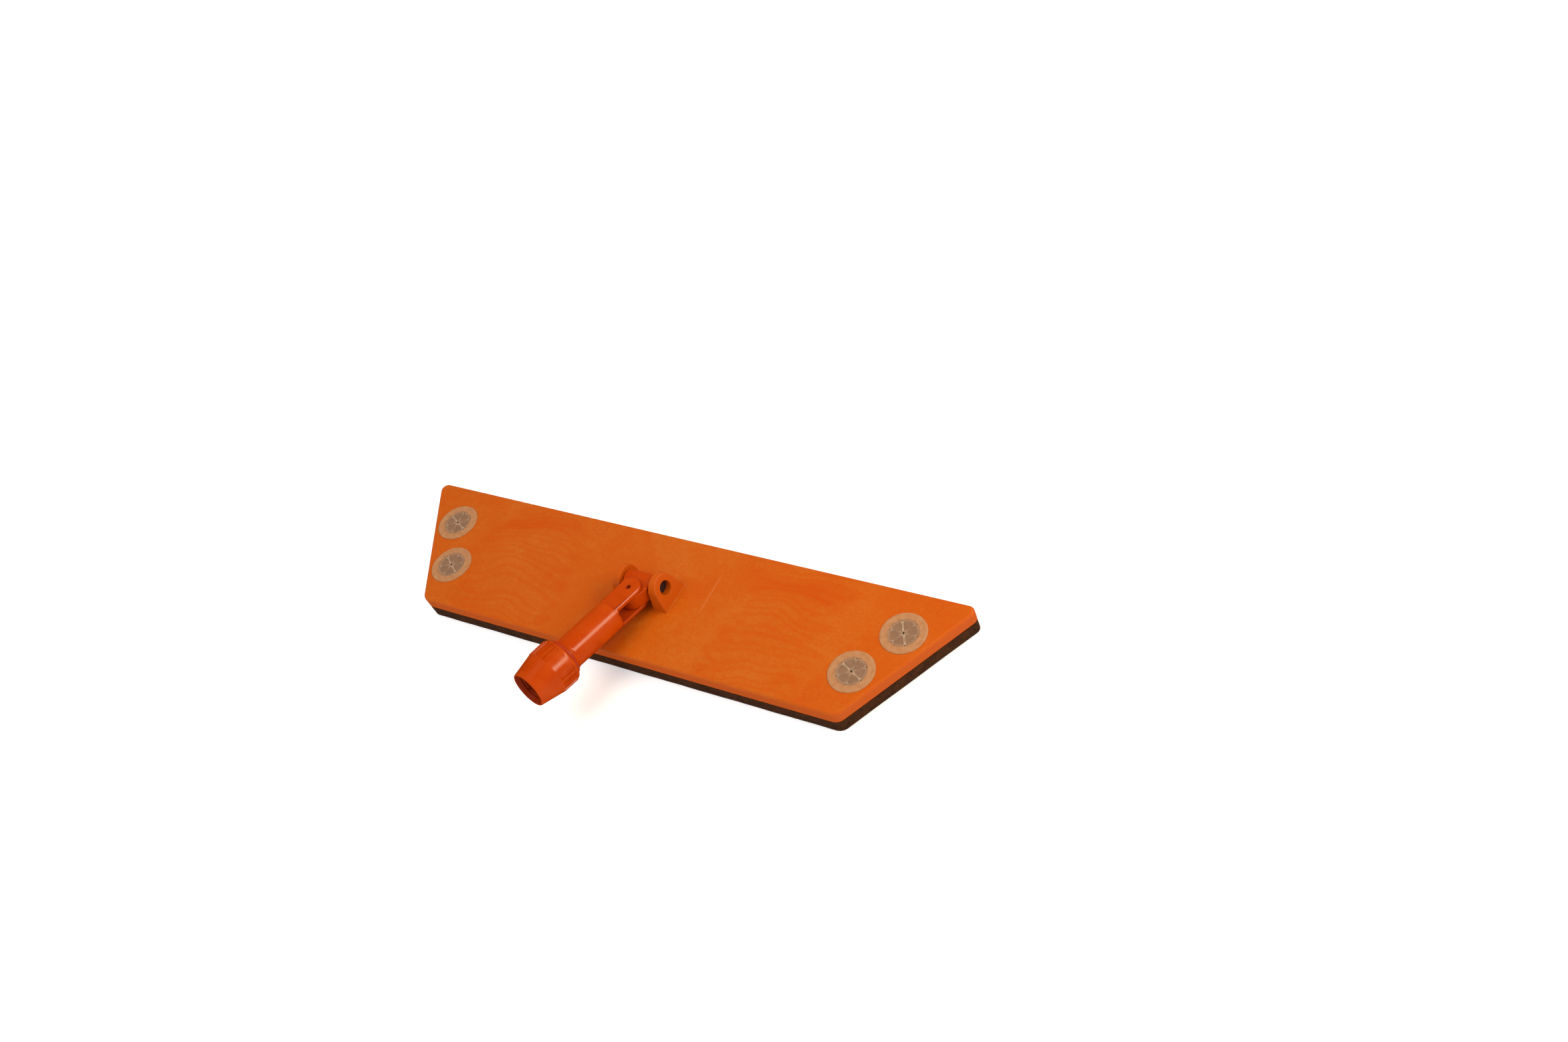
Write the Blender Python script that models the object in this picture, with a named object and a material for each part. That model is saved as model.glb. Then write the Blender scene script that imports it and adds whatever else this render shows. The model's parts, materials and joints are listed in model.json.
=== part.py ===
"""Trapezoid flat mop frame with cloth grips, a two-axis joint and a clamping handle socket.

Frame: metres, +Z up. The origin is the centre of the foam pad's underside, +X runs along
the long edge and +Y points at the long (rear) edge. The handle socket leans over the front.
"""

import math

import bmesh
import bpy
from mathutils import Matrix, Vector

# ---------------------------------------------------------------- driving dimensions
GAP = 0.0003                # clearance between pieces that touch
RUNNING = 0.0004            # clearance between pieces that turn or slide on each other

# base plate
LONG_EDGE = 0.600           # rear edge
SHORT_EDGE = 0.452          # front edge
DEPTH = 0.1308              # front edge to rear edge
FRONT_CORNER = 0.0105       # radius of the two blunt corners
REAR_CORNER = 0.0065        # radius of the two acute corners
PLATE_HEIGHT = 0.0124
DECK = 0.0032               # moulded top wall
SKIRT = 0.0026              # moulded side wall
EDGE_ROUND = 0.0018         # rounding of the top rim
RIB = 0.0018                # underside rib thickness
RIB_PITCH = 0.054
SPINE_OFFSET = 0.0215       # the two lengthwise ribs, from the centre line
FOAM_THICKNESS = 0.0125

# cloth grips
GRIP_RADIUS = 0.0202        # flange
GRIP_SEAT = 0.0009          # depth of the seat that the flange lies in
GRIP_FLANGE = 0.0017
GRIP_MOUTH = GRIP_RADIUS - 0.0069  # radius that the petals fill
GRIP_NECK = GRIP_RADIUS - 0.0056   # radius of the neck through the deck
GRIP_LIP = GRIP_RADIUS - 0.0043    # radius of the lip under the deck
GRIP_LIP_HEIGHT = 0.0016
PETAL_THICKNESS = 0.0012
PETAL_DROP = 0.0004         # petals lie this far below the flange
PETALS = 6
SLIT = 0.0007
GRIP_EYE = 0.0009           # radius of the small centre hole
GRIP_CUP_WALL = 0.0018
REAR_GRIP = (0.029421, 0.0415)    # centre in from the slanted side along X, and from the rear edge
FRONT_GRIP = (0.029344, 0.0425)   # the same, from the front edge
GRIP_TURNS = {"front_left": 25.8, "front_right": 34.5, "rear_left": 34.1, "rear_right": 0.0}

# lugs and cross axis
AXIS_Y = 0.0015             # axis ahead of the plate's centre
PIVOT_PIN_RADIUS = 0.0060
LUG_RADIUS = PIVOT_PIN_RADIUS + 0.0071
LUG_HALF_FOOT = LUG_RADIUS + 0.0033
AXIS_HEIGHT = LUG_RADIUS + 0.0026  # axis above the plate's top
LUG_INNER = 0.0157          # half distance between the lugs
LUG_FOOT = LUG_INNER + 0.0141  # half distance over the lugs at the deck
LUG_SLOPE = math.radians(15.5)
LUG_ROUND = 0.0013
PIVOT_PIN_HALF = LUG_INNER + 0.0059
END_ROUND = 0.0007          # rounding of the barrel's and the pivot pin's ends
LUG_BORE_ROOM = 0.0006      # visible slack round the pivot pin in the lugs

# cross piece
BARREL_RADIUS = PIVOT_PIN_RADIUS + 0.0030
BARREL_SIDE_GAP = 0.0006    # between the barrel's ends and the lugs
LINK = BARREL_RADIUS + 0.0085  # cross axis to fork pin
TONGUE_HALF = 0.0068        # half thickness, along the fork pin
TONGUE_RADIUS = 0.0108      # round end, about the fork pin
WEB_REACH = BARREL_RADIUS + 0.0030  # the web is as wide as the barrel up to here

# fork, tube and collet of the handle socket
TILT = math.radians(82.38)  # socket leans forward from upright
SWING = math.radians(12.31)  # socket swings to the left
EAR_SIDE_GAP = 0.0004       # tongue to ear
EAR_FLAT = TONGUE_HALF + EAR_SIDE_GAP + 0.0043  # fork pin centre to each outer flat, along the pin
EAR_RADIUS = 0.0110
FORK_DEPTH = 0.0256         # fork pin to the bottom of the slot
FORK_PIN_RADIUS = 0.0021
FORK_PIN_RECESS = 0.0026
TUBE_RADIUS = 0.01486
HANDLE_BORE = TUBE_RADIUS - 0.00226  # radius, for a 25 mm handle
TUBE_FLOOR = 0.0075         # solid bottom between fork and bore
RING_STATION = FORK_DEPTH + 0.0560  # fork pin to the slip ring's rear face
SHOULDER_RADIUS = TUBE_RADIUS + 0.00114
SHOULDER_LENGTH = 0.0032
COLLET_START = RING_STATION + 0.0184  # where the tube begins to taper
COLLET_END = RING_STATION + 0.0396
COLLET_TIP_RADIUS = TUBE_RADIUS - 0.00086
COLLET_SLOTS = 4
COLLET_SLOT = 0.0020
COLLET_SLOT_LENGTH = 0.0280

# slip ring and lock nut
RING_RADIUS = TUBE_RADIUS + 0.00314
RING_LENGTH = 0.0032
NUT_REAR_RADIUS = TUBE_RADIUS + 0.00554
NUT_GRIP_RADIUS = TUBE_RADIUS + 0.00684
NUT_BEND_RADIUS = TUBE_RADIUS + 0.00668
NUT_MOUTH_RADIUS = TUBE_RADIUS + 0.00222
NUT_REAR_CHAMFER = 0.0025
NUT_GRIP_LENGTH = 0.0192    # rear face to the bend
NUT_LENGTH = 0.0410
NUT_BORE_FLARE = HANDLE_BORE + 0.0020  # radius of the bore at the mouth
NUT_LIP_RADIUS = HANDLE_BORE + 0.0008
NUT_LIP_LENGTH = 0.0045
NUT_RIBS = 24
NUT_RIBS_LEFT_OUT = (3, 4, 15, 16)  # two smooth panels, opposite each other
NUT_RIB_START = math.radians(5.0)
NUT_RIB_WIDTH = 0.0010
NUT_RIB_HEIGHT = 0.00045

# ---------------------------------------------------------------- derived places
PLATE_BOTTOM = FOAM_THICKNESS + GAP
PLATE_TOP = PLATE_BOTTOM + PLATE_HEIGHT
DECK_UNDER = PLATE_TOP - DECK
AXIS_Z = PLATE_TOP + AXIS_HEIGHT
SLOT_HALF = TONGUE_HALF + EAR_SIDE_GAP
RING_BORE = TUBE_RADIUS + RUNNING
NUT_STATION = RING_STATION + RING_LENGTH + GAP
GRIP_HOLE = GRIP_NECK + GAP
GRIP_CUP = GRIP_LIP + 2 * GAP


# ---------------------------------------------------------------- helpers
def clear_scene():
    for old in list(bpy.data.objects):
        bpy.data.objects.remove(old, do_unlink=True)


def plastic(name, colour, roughness):
    """A moulded plastic or rubber as a Principled BSDF."""
    material = bpy.data.materials.new(name)
    material.use_nodes = True
    shader = material.node_tree.nodes["Principled BSDF"]
    shader.inputs["Base Color"].default_value = (*colour, 1.0)
    shader.inputs["Roughness"].default_value = roughness
    shader.inputs["Metallic"].default_value = 0.0
    material.diffuse_color = (*colour, 1.0)
    return material


def add_empty(name, location, rotation=(0.0, 0.0, 0.0), parent=None):
    empty = bpy.data.objects.new(name, None)
    bpy.context.scene.collection.objects.link(empty)
    empty.parent = parent
    empty.location = location
    empty.rotation_euler = rotation
    return empty


def add_object(name, bm, material=None, parent=None, location=(0.0, 0.0, 0.0), angle=30.0):
    """Turn a bmesh into a linked object, shaded smooth with sharp edges past the angle."""
    bmesh.ops.recalc_face_normals(bm, faces=bm.faces)
    mesh = bpy.data.meshes.new(name)
    bm.to_mesh(mesh)
    bm.free()
    mesh.shade_smooth()
    mesh.set_sharp_from_angle(angle=math.radians(angle))
    if material:
        mesh.materials.append(material)
    obj = bpy.data.objects.new(name, mesh)
    bpy.context.scene.collection.objects.link(obj)
    obj.parent = parent
    obj.location = location
    return obj


def add_cutter(name, bm, parent=None, location=(0.0, 0.0, 0.0)):
    cutter = add_object(name, bm, None, parent, location)
    cutter.hide_render = True
    cutter.display_type = "WIRE"
    return cutter


def combine(obj, other, operation):
    modifier = obj.modifiers.new(other.name, "BOOLEAN")
    modifier.operation = operation
    modifier.solver = "EXACT"
    modifier.object = other
    return modifier


def arc(centre, radius, start, end, steps):
    """Points on an arc, both ends included, angles in radians."""
    points = []
    for i in range(steps + 1):
        a = start + (end - start) * i / steps
        points.append((centre[0] + radius * math.cos(a), centre[1] + radius * math.sin(a)))
    return points


def rounded_polygon(corners, radii, steps=6):
    """A convex outline, counter-clockwise, with each corner rounded to its own radius."""
    outline = []
    count = len(corners)
    for i, (corner, radius) in enumerate(zip(corners, radii)):
        here = Vector(corner)
        back = (Vector(corners[i - 1]) - here).normalized()
        ahead = (Vector(corners[(i + 1) % count]) - here).normalized()
        half = back.angle(ahead) / 2.0
        centre = here + (back + ahead).normalized() * radius / math.sin(half)
        first = here + back * radius / math.tan(half) - centre
        start = math.atan2(first.y, first.x)
        outline += arc(centre, radius, start, start + math.pi - 2.0 * half, steps)
    return outline


def extrude_outline(bm, outline, low, high, place=None):
    """Extrude a closed outline between two heights; place maps (u, v, height) to a point."""
    place = place or (lambda u, v, h: (u, v, h))
    bottom = [bm.verts.new(place(u, v, low)) for u, v in outline]
    face = bm.faces.new(bottom)
    extruded = bmesh.ops.extrude_face_region(bm, geom=[face])
    top = [item for item in extruded["geom"] if isinstance(item, bmesh.types.BMVert)]
    shift = Vector(place(0.0, 0.0, high)) - Vector(place(0.0, 0.0, low))
    bmesh.ops.translate(bm, verts=top, vec=shift)
    return bottom, top


def add_box(bm, low, high, matrix=None):
    size = [high[i] - low[i] for i in range(3)]
    centre = [(high[i] + low[i]) / 2.0 for i in range(3)]
    place = Matrix.Translation(centre) @ Matrix.Diagonal((*size, 1.0))
    bmesh.ops.create_cube(bm, size=1.0, matrix=(matrix or Matrix()) @ place)


def add_cylinder(bm, radius, low, high, segments, matrix=None):
    """A cylinder along Z between two heights."""
    place = Matrix.Translation((0.0, 0.0, (low + high) / 2.0))
    bmesh.ops.create_cone(bm, cap_ends=True, segments=segments, radius1=radius, radius2=radius,
                          depth=high - low, matrix=(matrix or Matrix()) @ place)


def round_ends(bm, offset):
    """Bevel the two end rims of the one cylinder in a bmesh."""
    caps = [face for face in bm.faces if len(face.verts) > 4]
    rims = {edge for face in caps for edge in face.edges}
    bmesh.ops.bevel(bm, geom=list(rims), offset=offset, segments=2, profile=0.5, affect="EDGES")


def add_turned(bm, profile, segments, closed):
    """Spin a profile of (radius, height) points about Z.

    A closed profile gives a ring or a tube; an open one starts and ends on the axis.
    """
    verts = [bm.verts.new((radius, 0.0, height)) for radius, height in profile]
    edges = [bm.edges.new((a, b)) for a, b in zip(verts, verts[1:])]
    if closed:
        edges.append(bm.edges.new((verts[-1], verts[0])))
    bmesh.ops.spin(bm, geom=verts + edges, cent=(0.0, 0.0, 0.0), axis=(0.0, 0.0, 1.0),
                   angle=2.0 * math.pi, steps=segments, use_merge=True)
    bmesh.ops.remove_doubles(bm, verts=bm.verts, dist=1e-7)
    bmesh.ops.dissolve_degenerate(bm, edges=bm.edges, dist=1e-7)


AROUND_X = Matrix.Rotation(math.radians(90.0), 4, "Y")
AROUND_Y = Matrix.Rotation(math.radians(90.0), 4, "X")


# ---------------------------------------------------------------- base plate
def edge_x(y, inset=0.0):
    """Half width of the plate at a depth y, measured to a line inset from the slanted side."""
    run = (LONG_EDGE - SHORT_EDGE) / 2.0
    middle = (LONG_EDGE + SHORT_EDGE) / 4.0
    slope = run / DEPTH
    return middle + y * slope - inset * math.sqrt(1.0 + slope * slope)


def plate_corners(inset=0.0):
    front = -DEPTH / 2.0 + inset
    rear = DEPTH / 2.0 - inset
    return [(-edge_x(front, inset), front), (edge_x(front, inset), front),
            (edge_x(rear, inset), rear), (-edge_x(rear, inset), rear)]


def corner_radii(inset=0.0):
    front, rear = FRONT_CORNER - inset, REAR_CORNER - inset
    return [front, front, rear, rear]


def grip_places():
    rear_y = DEPTH / 2.0 - REAR_GRIP[1]
    front_y = FRONT_GRIP[1] - DEPTH / 2.0
    rear_x = edge_x(rear_y) - REAR_GRIP[0]
    front_x = edge_x(front_y) - FRONT_GRIP[0]
    return {"front_left": (-front_x, front_y), "front_right": (front_x, front_y),
            "rear_left": (-rear_x, rear_y), "rear_right": (rear_x, rear_y)}


def build_lug(bm, side):
    """A tombstone lug: flat inner face, sloping outer face with a rounded rim.

    Its sides run straight from the foot and meet the round top without a corner.
    """
    sink = DECK / 2.0
    lean = (math.acos(LUG_RADIUS / math.hypot(LUG_HALF_FOOT, AXIS_HEIGHT))
            - math.atan2(AXIS_HEIGHT, LUG_HALF_FOOT))
    outline = [(-LUG_HALF_FOOT, -sink), (LUG_HALF_FOOT, -sink), (LUG_HALF_FOOT, 0.0)]
    outline += arc((0.0, AXIS_HEIGHT), LUG_RADIUS, lean, math.pi - lean, 24)
    outline += [(-LUG_HALF_FOOT, 0.0)]
    inner, outer = extrude_outline(bm, outline, LUG_INNER, LUG_FOOT,
                                   lambda u, v, h: (h, u + AXIS_Y, v + PLATE_TOP))
    for vert in outer:
        vert.co.x -= (vert.co.z - PLATE_TOP) * math.tan(LUG_SLOPE)
    rim = [edge for edge in bm.edges if edge.verts[0] in outer and edge.verts[1] in outer
           and max(v.co.z for v in edge.verts) > PLATE_TOP + 1e-5]
    bmesh.ops.bevel(bm, geom=rim, offset=LUG_ROUND, segments=3, profile=0.5, affect="EDGES")
    if side < 0:
        bmesh.ops.scale(bm, vec=(-1.0, 1.0, 1.0), verts=bm.verts)


def underside_cells():
    """The pockets between the ribs, as prisms that rise to the underside of the deck."""
    bm = bmesh.new()
    inner_front = -DEPTH / 2.0 + SKIRT
    inner_rear = DEPTH / 2.0 - SKIRT
    rows = [(inner_front, -SPINE_OFFSET - RIB / 2.0),
            (-SPINE_OFFSET + RIB / 2.0, SPINE_OFFSET - RIB / 2.0),
            (SPINE_OFFSET + RIB / 2.0, inner_rear)]
    first = RIB_PITCH * 0.43
    lines = [-first, first]
    while lines[-1] + RIB_PITCH < LONG_EDGE / 2.0:
        lines.append(lines[-1] + RIB_PITCH)
        lines.insert(0, lines[0] - RIB_PITCH)
    lines = [-LONG_EDGE] + lines + [LONG_EDGE]
    low = PLATE_BOTTOM - 0.002
    for front, rear in rows:
        reach_front = edge_x(front, SKIRT)
        reach_rear = edge_x(rear, SKIRT)
        for left, right in zip(lines, lines[1:]):
            a = left + RIB / 2.0
            b = right - RIB / 2.0
            corners = [(max(a, -reach_front), front), (min(b, reach_front), front),
                       (min(b, reach_rear), rear), (max(a, -reach_rear), rear)]
            front_width = corners[1][0] - corners[0][0]
            rear_width = corners[2][0] - corners[3][0]
            if min(front_width, rear_width) < 3.0 * RIB:
                continue
            extrude_outline(bm, corners, low, DECK_UNDER)
    return bm


def build_base_plate(material):
    bm = bmesh.new()
    outline = rounded_polygon(plate_corners(), corner_radii())
    bottom, top = extrude_outline(bm, outline, PLATE_BOTTOM, PLATE_TOP)
    rim = [edge for edge in bm.edges if edge.verts[0] in top and edge.verts[1] in top]
    bmesh.ops.bevel(bm, geom=rim, offset=EDGE_ROUND, segments=3, profile=0.5, affect="EDGES")
    plate = add_object("base_plate", bm, material)

    for side, label in ((-1, "left"), (1, "right")):
        bm = bmesh.new()
        build_lug(bm, side)
        combine(plate, add_cutter("lug_" + label, bm), "UNION")

    cells = add_cutter("underside_cells", underside_cells())
    bm = bmesh.new()
    for x, y in grip_places().values():
        add_cylinder(bm, GRIP_CUP + GRIP_CUP_WALL, 0.0, PLATE_TOP, 24, Matrix.Translation((x, y, 0.0)))
    combine(cells, add_cutter("cup_walls", bm), "DIFFERENCE")
    bm = bmesh.new()
    inner = rounded_polygon(plate_corners(SKIRT), corner_radii(SKIRT))
    extrude_outline(bm, inner, 0.0, PLATE_TOP)
    combine(cells, add_cutter("inside_of_skirt", bm), "INTERSECT")
    combine(plate, cells, "DIFFERENCE")

    bm = bmesh.new()
    seat = PLATE_TOP - GRIP_SEAT
    profile = [(0.0, 0.0), (GRIP_CUP, 0.0), (GRIP_CUP, DECK_UNDER), (GRIP_HOLE, DECK_UNDER),
               (GRIP_HOLE, seat), (GRIP_RADIUS + GAP, seat), (GRIP_RADIUS + GAP, PLATE_TOP + 0.005),
               (0.0, PLATE_TOP + 0.005)]
    for x, y in grip_places().values():
        part = bmesh.new()
        add_turned(part, profile, 30, closed=False)
        bmesh.ops.translate(part, verts=part.verts, vec=(x, y, 0.0))
        bmesh.ops.recalc_face_normals(part, faces=part.faces)
        mesh = bpy.data.meshes.new("grip_seat")
        part.to_mesh(mesh)
        part.free()
        bm.from_mesh(mesh)
        bpy.data.meshes.remove(mesh)
    combine(plate, add_cutter("grip_seats", bm), "DIFFERENCE")

    bm = bmesh.new()
    place = Matrix.Translation((0.0, AXIS_Y, AXIS_Z)) @ AROUND_X
    add_cylinder(bm, PIVOT_PIN_RADIUS + LUG_BORE_ROOM, -2 * LUG_FOOT, 2 * LUG_FOOT, 32, place)
    combine(plate, add_cutter("lug_bore", bm), "DIFFERENCE")
    return plate


def build_foam_pad(material):
    bm = bmesh.new()
    outline = rounded_polygon(plate_corners(), corner_radii())
    extrude_outline(bm, outline, 0.0, FOAM_THICKNESS)
    return add_object("foam_pad", bm, material)


# ---------------------------------------------------------------- cloth grips
def build_cloth_grip(label, place, turn, material):
    """A rubber disc with petals cut by slits; its neck and lip hold it in the deck."""
    under_flange = PLATE_TOP - GRIP_SEAT + GAP
    top = under_flange + GRIP_FLANGE
    lip_top = DECK_UNDER - GAP
    lip_bottom = lip_top - GRIP_LIP_HEIGHT
    petal_top = top - PETAL_DROP
    petal_under = petal_top - PETAL_THICKNESS
    round_over = 0.0005
    profile = [(0.0, petal_under), (GRIP_MOUTH - round_over, petal_under),
               (GRIP_MOUTH, petal_under - round_over), (GRIP_MOUTH, lip_bottom),
               (GRIP_NECK, lip_bottom), (GRIP_LIP, lip_top - GRIP_LIP_HEIGHT / 3.0),
               (GRIP_LIP, lip_top), (GRIP_NECK, lip_top), (GRIP_NECK, under_flange),
               (GRIP_RADIUS, under_flange), (GRIP_RADIUS, top - round_over),
               (GRIP_RADIUS - round_over, top), (GRIP_MOUTH + round_over, top),
               (GRIP_MOUTH, petal_top), (0.0, petal_top)]
    bm = bmesh.new()
    add_turned(bm, profile, 30, closed=False)
    bmesh.ops.translate(bm, verts=bm.verts, vec=(0.0, 0.0, -top))
    grip = add_object("cloth_grip_" + label, bm, material, None, (place[0], place[1], top))
    grip.rotation_euler = (0.0, 0.0, math.radians(turn))

    bm = bmesh.new()
    reach = GRIP_MOUTH - round_over
    outline = []
    for i in range(PETALS):
        a = 2.0 * math.pi * i / PETALS
        step = math.pi / PETALS
        outer = math.asin(SLIT / 2.0 / reach)
        inner_radius = max(GRIP_EYE, SLIT / 2.0 / math.sin(step))
        inner = math.asin(SLIT / 2.0 / inner_radius)
        outline.append((reach * math.cos(a - outer), reach * math.sin(a - outer)))
        outline.append((reach * math.cos(a + outer), reach * math.sin(a + outer)))
        outline.append((inner_radius * math.cos(a + inner), inner_radius * math.sin(a + inner)))
        ahead = a + 2.0 * step - inner
        outline.append((inner_radius * math.cos(ahead), inner_radius * math.sin(ahead)))
    extrude_outline(bm, outline, petal_under - top - 0.001, 0.001)
    combine(grip, add_cutter("slits_" + label, bm, grip), "DIFFERENCE")
    return grip


# ---------------------------------------------------------------- joint
def build_cross_piece(material, cross_axis):
    """A barrel on the pivot pin; its web narrows to a round-ended tongue in the fork."""
    half = LUG_INNER - BARREL_SIDE_GAP
    bm = bmesh.new()
    add_cylinder(bm, BARREL_RADIUS, -half, half, 40, AROUND_X)
    round_ends(bm, END_ROUND)
    cross = add_object("cross_piece", bm, material, cross_axis)

    bm = bmesh.new()
    web = half - END_ROUND - GAP
    drop = LINK - WEB_REACH
    lean = math.acos(TONGUE_RADIUS / math.hypot(web, drop)) - math.atan2(drop, web)
    outline = [(-web, 0.0), (web, 0.0), (web, WEB_REACH)]
    outline += arc((0.0, LINK), TONGUE_RADIUS, lean, math.pi - lean, 20)
    outline.append((-web, WEB_REACH))
    extrude_outline(bm, outline, -TONGUE_HALF, TONGUE_HALF, lambda u, v, h: (u, h, v))
    combine(cross, add_cutter("tongue", bm, cross_axis), "UNION")

    bm = bmesh.new()
    add_cylinder(bm, PIVOT_PIN_RADIUS + RUNNING, -2 * half, 2 * half, 32, AROUND_X)
    combine(cross, add_cutter("barrel_bore", bm, cross_axis), "DIFFERENCE")

    bm = bmesh.new()
    add_cylinder(bm, FORK_PIN_RADIUS + RUNNING, -2 * TONGUE_HALF, 2 * TONGUE_HALF, 24,
                 Matrix.Translation((0.0, 0.0, LINK)) @ AROUND_Y)
    combine(cross, add_cutter("tongue_bore", bm, cross_axis), "DIFFERENCE")
    return cross


def build_pivot_pin(material, cross_place):
    bm = bmesh.new()
    add_cylinder(bm, PIVOT_PIN_RADIUS, -PIVOT_PIN_HALF, PIVOT_PIN_HALF, 32, AROUND_X)
    round_ends(bm, END_ROUND)
    return add_object("pivot_pin", bm, material, None, cross_place)


def build_fork_pin(material, socket_axis):
    half = EAR_FLAT - FORK_PIN_RECESS
    bm = bmesh.new()
    add_cylinder(bm, FORK_PIN_RADIUS, -half, half, 24, AROUND_Y)
    return add_object("fork_pin", bm, material, socket_axis)


# ---------------------------------------------------------------- handle socket
def collet_radius(station):
    """Outer radius of the tube at a station ahead of the fork pin."""
    if station <= COLLET_START:
        return TUBE_RADIUS
    share = (station - COLLET_START) / (COLLET_END - COLLET_START)
    return TUBE_RADIUS + share * (COLLET_TIP_RADIUS - TUBE_RADIUS)


def build_handle_socket(material, socket_axis):
    """Fork, tube and slotted collet in one moulding, along local Z from the fork pin."""
    floor = FORK_DEPTH + TUBE_FLOOR
    back = -2.0 * EAR_RADIUS
    shoulder = RING_STATION - GAP
    profile = [(0.0, back), (TUBE_RADIUS, back), (TUBE_RADIUS, shoulder - SHOULDER_LENGTH),
               (SHOULDER_RADIUS, shoulder - 0.0006), (SHOULDER_RADIUS, shoulder),
               (TUBE_RADIUS, shoulder), (TUBE_RADIUS, COLLET_START),
               (COLLET_TIP_RADIUS, COLLET_END), (HANDLE_BORE + 0.0007, COLLET_END),
               (HANDLE_BORE, COLLET_END - 0.0012), (HANDLE_BORE, floor), (0.0, floor)]
    bm = bmesh.new()
    add_turned(bm, profile, 48, closed=False)
    socket = add_object("handle_socket", bm, material, socket_axis)

    wide = 2.0 * TUBE_RADIUS
    outline = [(-wide, 2 * COLLET_END), (-wide, FORK_DEPTH), (-EAR_RADIUS, FORK_DEPTH)]
    outline += arc((0.0, 0.0), EAR_RADIUS, math.pi, 2.0 * math.pi, 24)
    outline += [(EAR_RADIUS, FORK_DEPTH), (wide, FORK_DEPTH), (wide, 2 * COLLET_END)]
    bm = bmesh.new()
    extrude_outline(bm, outline, -wide, wide, lambda u, v, h: (u, h, v))
    combine(socket, add_cutter("fork_outline", bm, socket_axis), "INTERSECT")

    bm = bmesh.new()
    add_box(bm, (-wide, -SLOT_HALF, 2 * back), (wide, SLOT_HALF, FORK_DEPTH))
    add_box(bm, (-wide, EAR_FLAT, 2 * back), (wide, 2 * wide, FORK_DEPTH))
    add_box(bm, (-wide, -2 * wide, 2 * back), (wide, -EAR_FLAT, FORK_DEPTH))
    combine(socket, add_cutter("fork_slot_and_flats", bm, socket_axis), "DIFFERENCE")

    bm = bmesh.new()
    add_cylinder(bm, FORK_PIN_RADIUS + GAP, -wide, wide, 24, AROUND_Y)
    combine(socket, add_cutter("ear_bores", bm, socket_axis), "DIFFERENCE")

    bm = bmesh.new()
    low = COLLET_END - COLLET_SLOT_LENGTH
    for i in range(COLLET_SLOTS):
        turn = Matrix.Rotation(2.0 * math.pi * (i + 0.5) / COLLET_SLOTS, 4, "Z")
        add_box(bm, (HANDLE_BORE / 2.0, -COLLET_SLOT / 2.0, low),
                (2.0 * TUBE_RADIUS, COLLET_SLOT / 2.0, 2.0 * COLLET_END), turn)
    combine(socket, add_cutter("collet_slots", bm, socket_axis), "DIFFERENCE")
    return socket


def build_slip_ring(material, socket_axis):
    """A round-backed red ring between the tube's shoulder and the nut."""
    bulge = RING_LENGTH / 2.0
    profile = [(RING_BORE, 0.0)]
    for r, z in arc((0.0, 0.0), 1.0, -math.pi / 2.0, math.pi / 2.0, 6):
        profile.append((RING_RADIUS - 0.0010 + 0.0010 * r, bulge + bulge * z))
    profile.append((RING_BORE, RING_LENGTH))
    bm = bmesh.new()
    add_turned(bm, profile, 48, closed=True)
    return add_object("slip_ring", bm, material, socket_axis, (0.0, 0.0, RING_STATION))


def build_lock_nut(material, socket_axis):
    """A ribbed nut whose inner cone closes the collet; local Z 0 is its rear face."""
    start = COLLET_START - NUT_STATION
    lip = NUT_LENGTH - NUT_LIP_LENGTH
    lip_cone = collet_radius(min(NUT_STATION + lip, COLLET_END)) + RUNNING
    profile = [(RING_BORE, 0.0), (NUT_REAR_RADIUS, 0.0),
               (NUT_GRIP_RADIUS - 0.0003, NUT_REAR_CHAMFER * 0.6),
               (NUT_GRIP_RADIUS, NUT_REAR_CHAMFER), (NUT_BEND_RADIUS, NUT_GRIP_LENGTH),
               (NUT_MOUTH_RADIUS + 0.0002, NUT_LENGTH - 0.0004),
               (NUT_MOUTH_RADIUS - 0.0005, NUT_LENGTH), (NUT_BORE_FLARE + 0.0006, NUT_LENGTH),
               (NUT_BORE_FLARE, NUT_LENGTH - 0.0004), (NUT_LIP_RADIUS, NUT_LENGTH - 0.0026),
               (NUT_LIP_RADIUS, lip), (lip_cone, lip), (RING_BORE, start)]
    bm = bmesh.new()
    add_turned(bm, profile, 48, closed=True)
    nut = add_object("lock_nut", bm, material, socket_axis, (0.0, 0.0, NUT_STATION))

    bm = bmesh.new()
    for i in range(NUT_RIBS):
        if i in NUT_RIBS_LEFT_OUT:
            continue
        # angles run from local +Y towards local -X
        angle = math.pi / 2.0 + NUT_RIB_START - 2.0 * math.pi * i / NUT_RIBS
        add_box(bm, (NUT_BEND_RADIUS - 0.0015, -NUT_RIB_WIDTH / 2.0, NUT_REAR_CHAMFER),
                (NUT_GRIP_RADIUS + NUT_RIB_HEIGHT, NUT_RIB_WIDTH / 2.0, NUT_GRIP_LENGTH - 0.0004),
                Matrix.Rotation(angle, 4, "Z"))
    combine(nut, add_cutter("nut_ribs", bm, nut), "UNION")
    return nut


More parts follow.
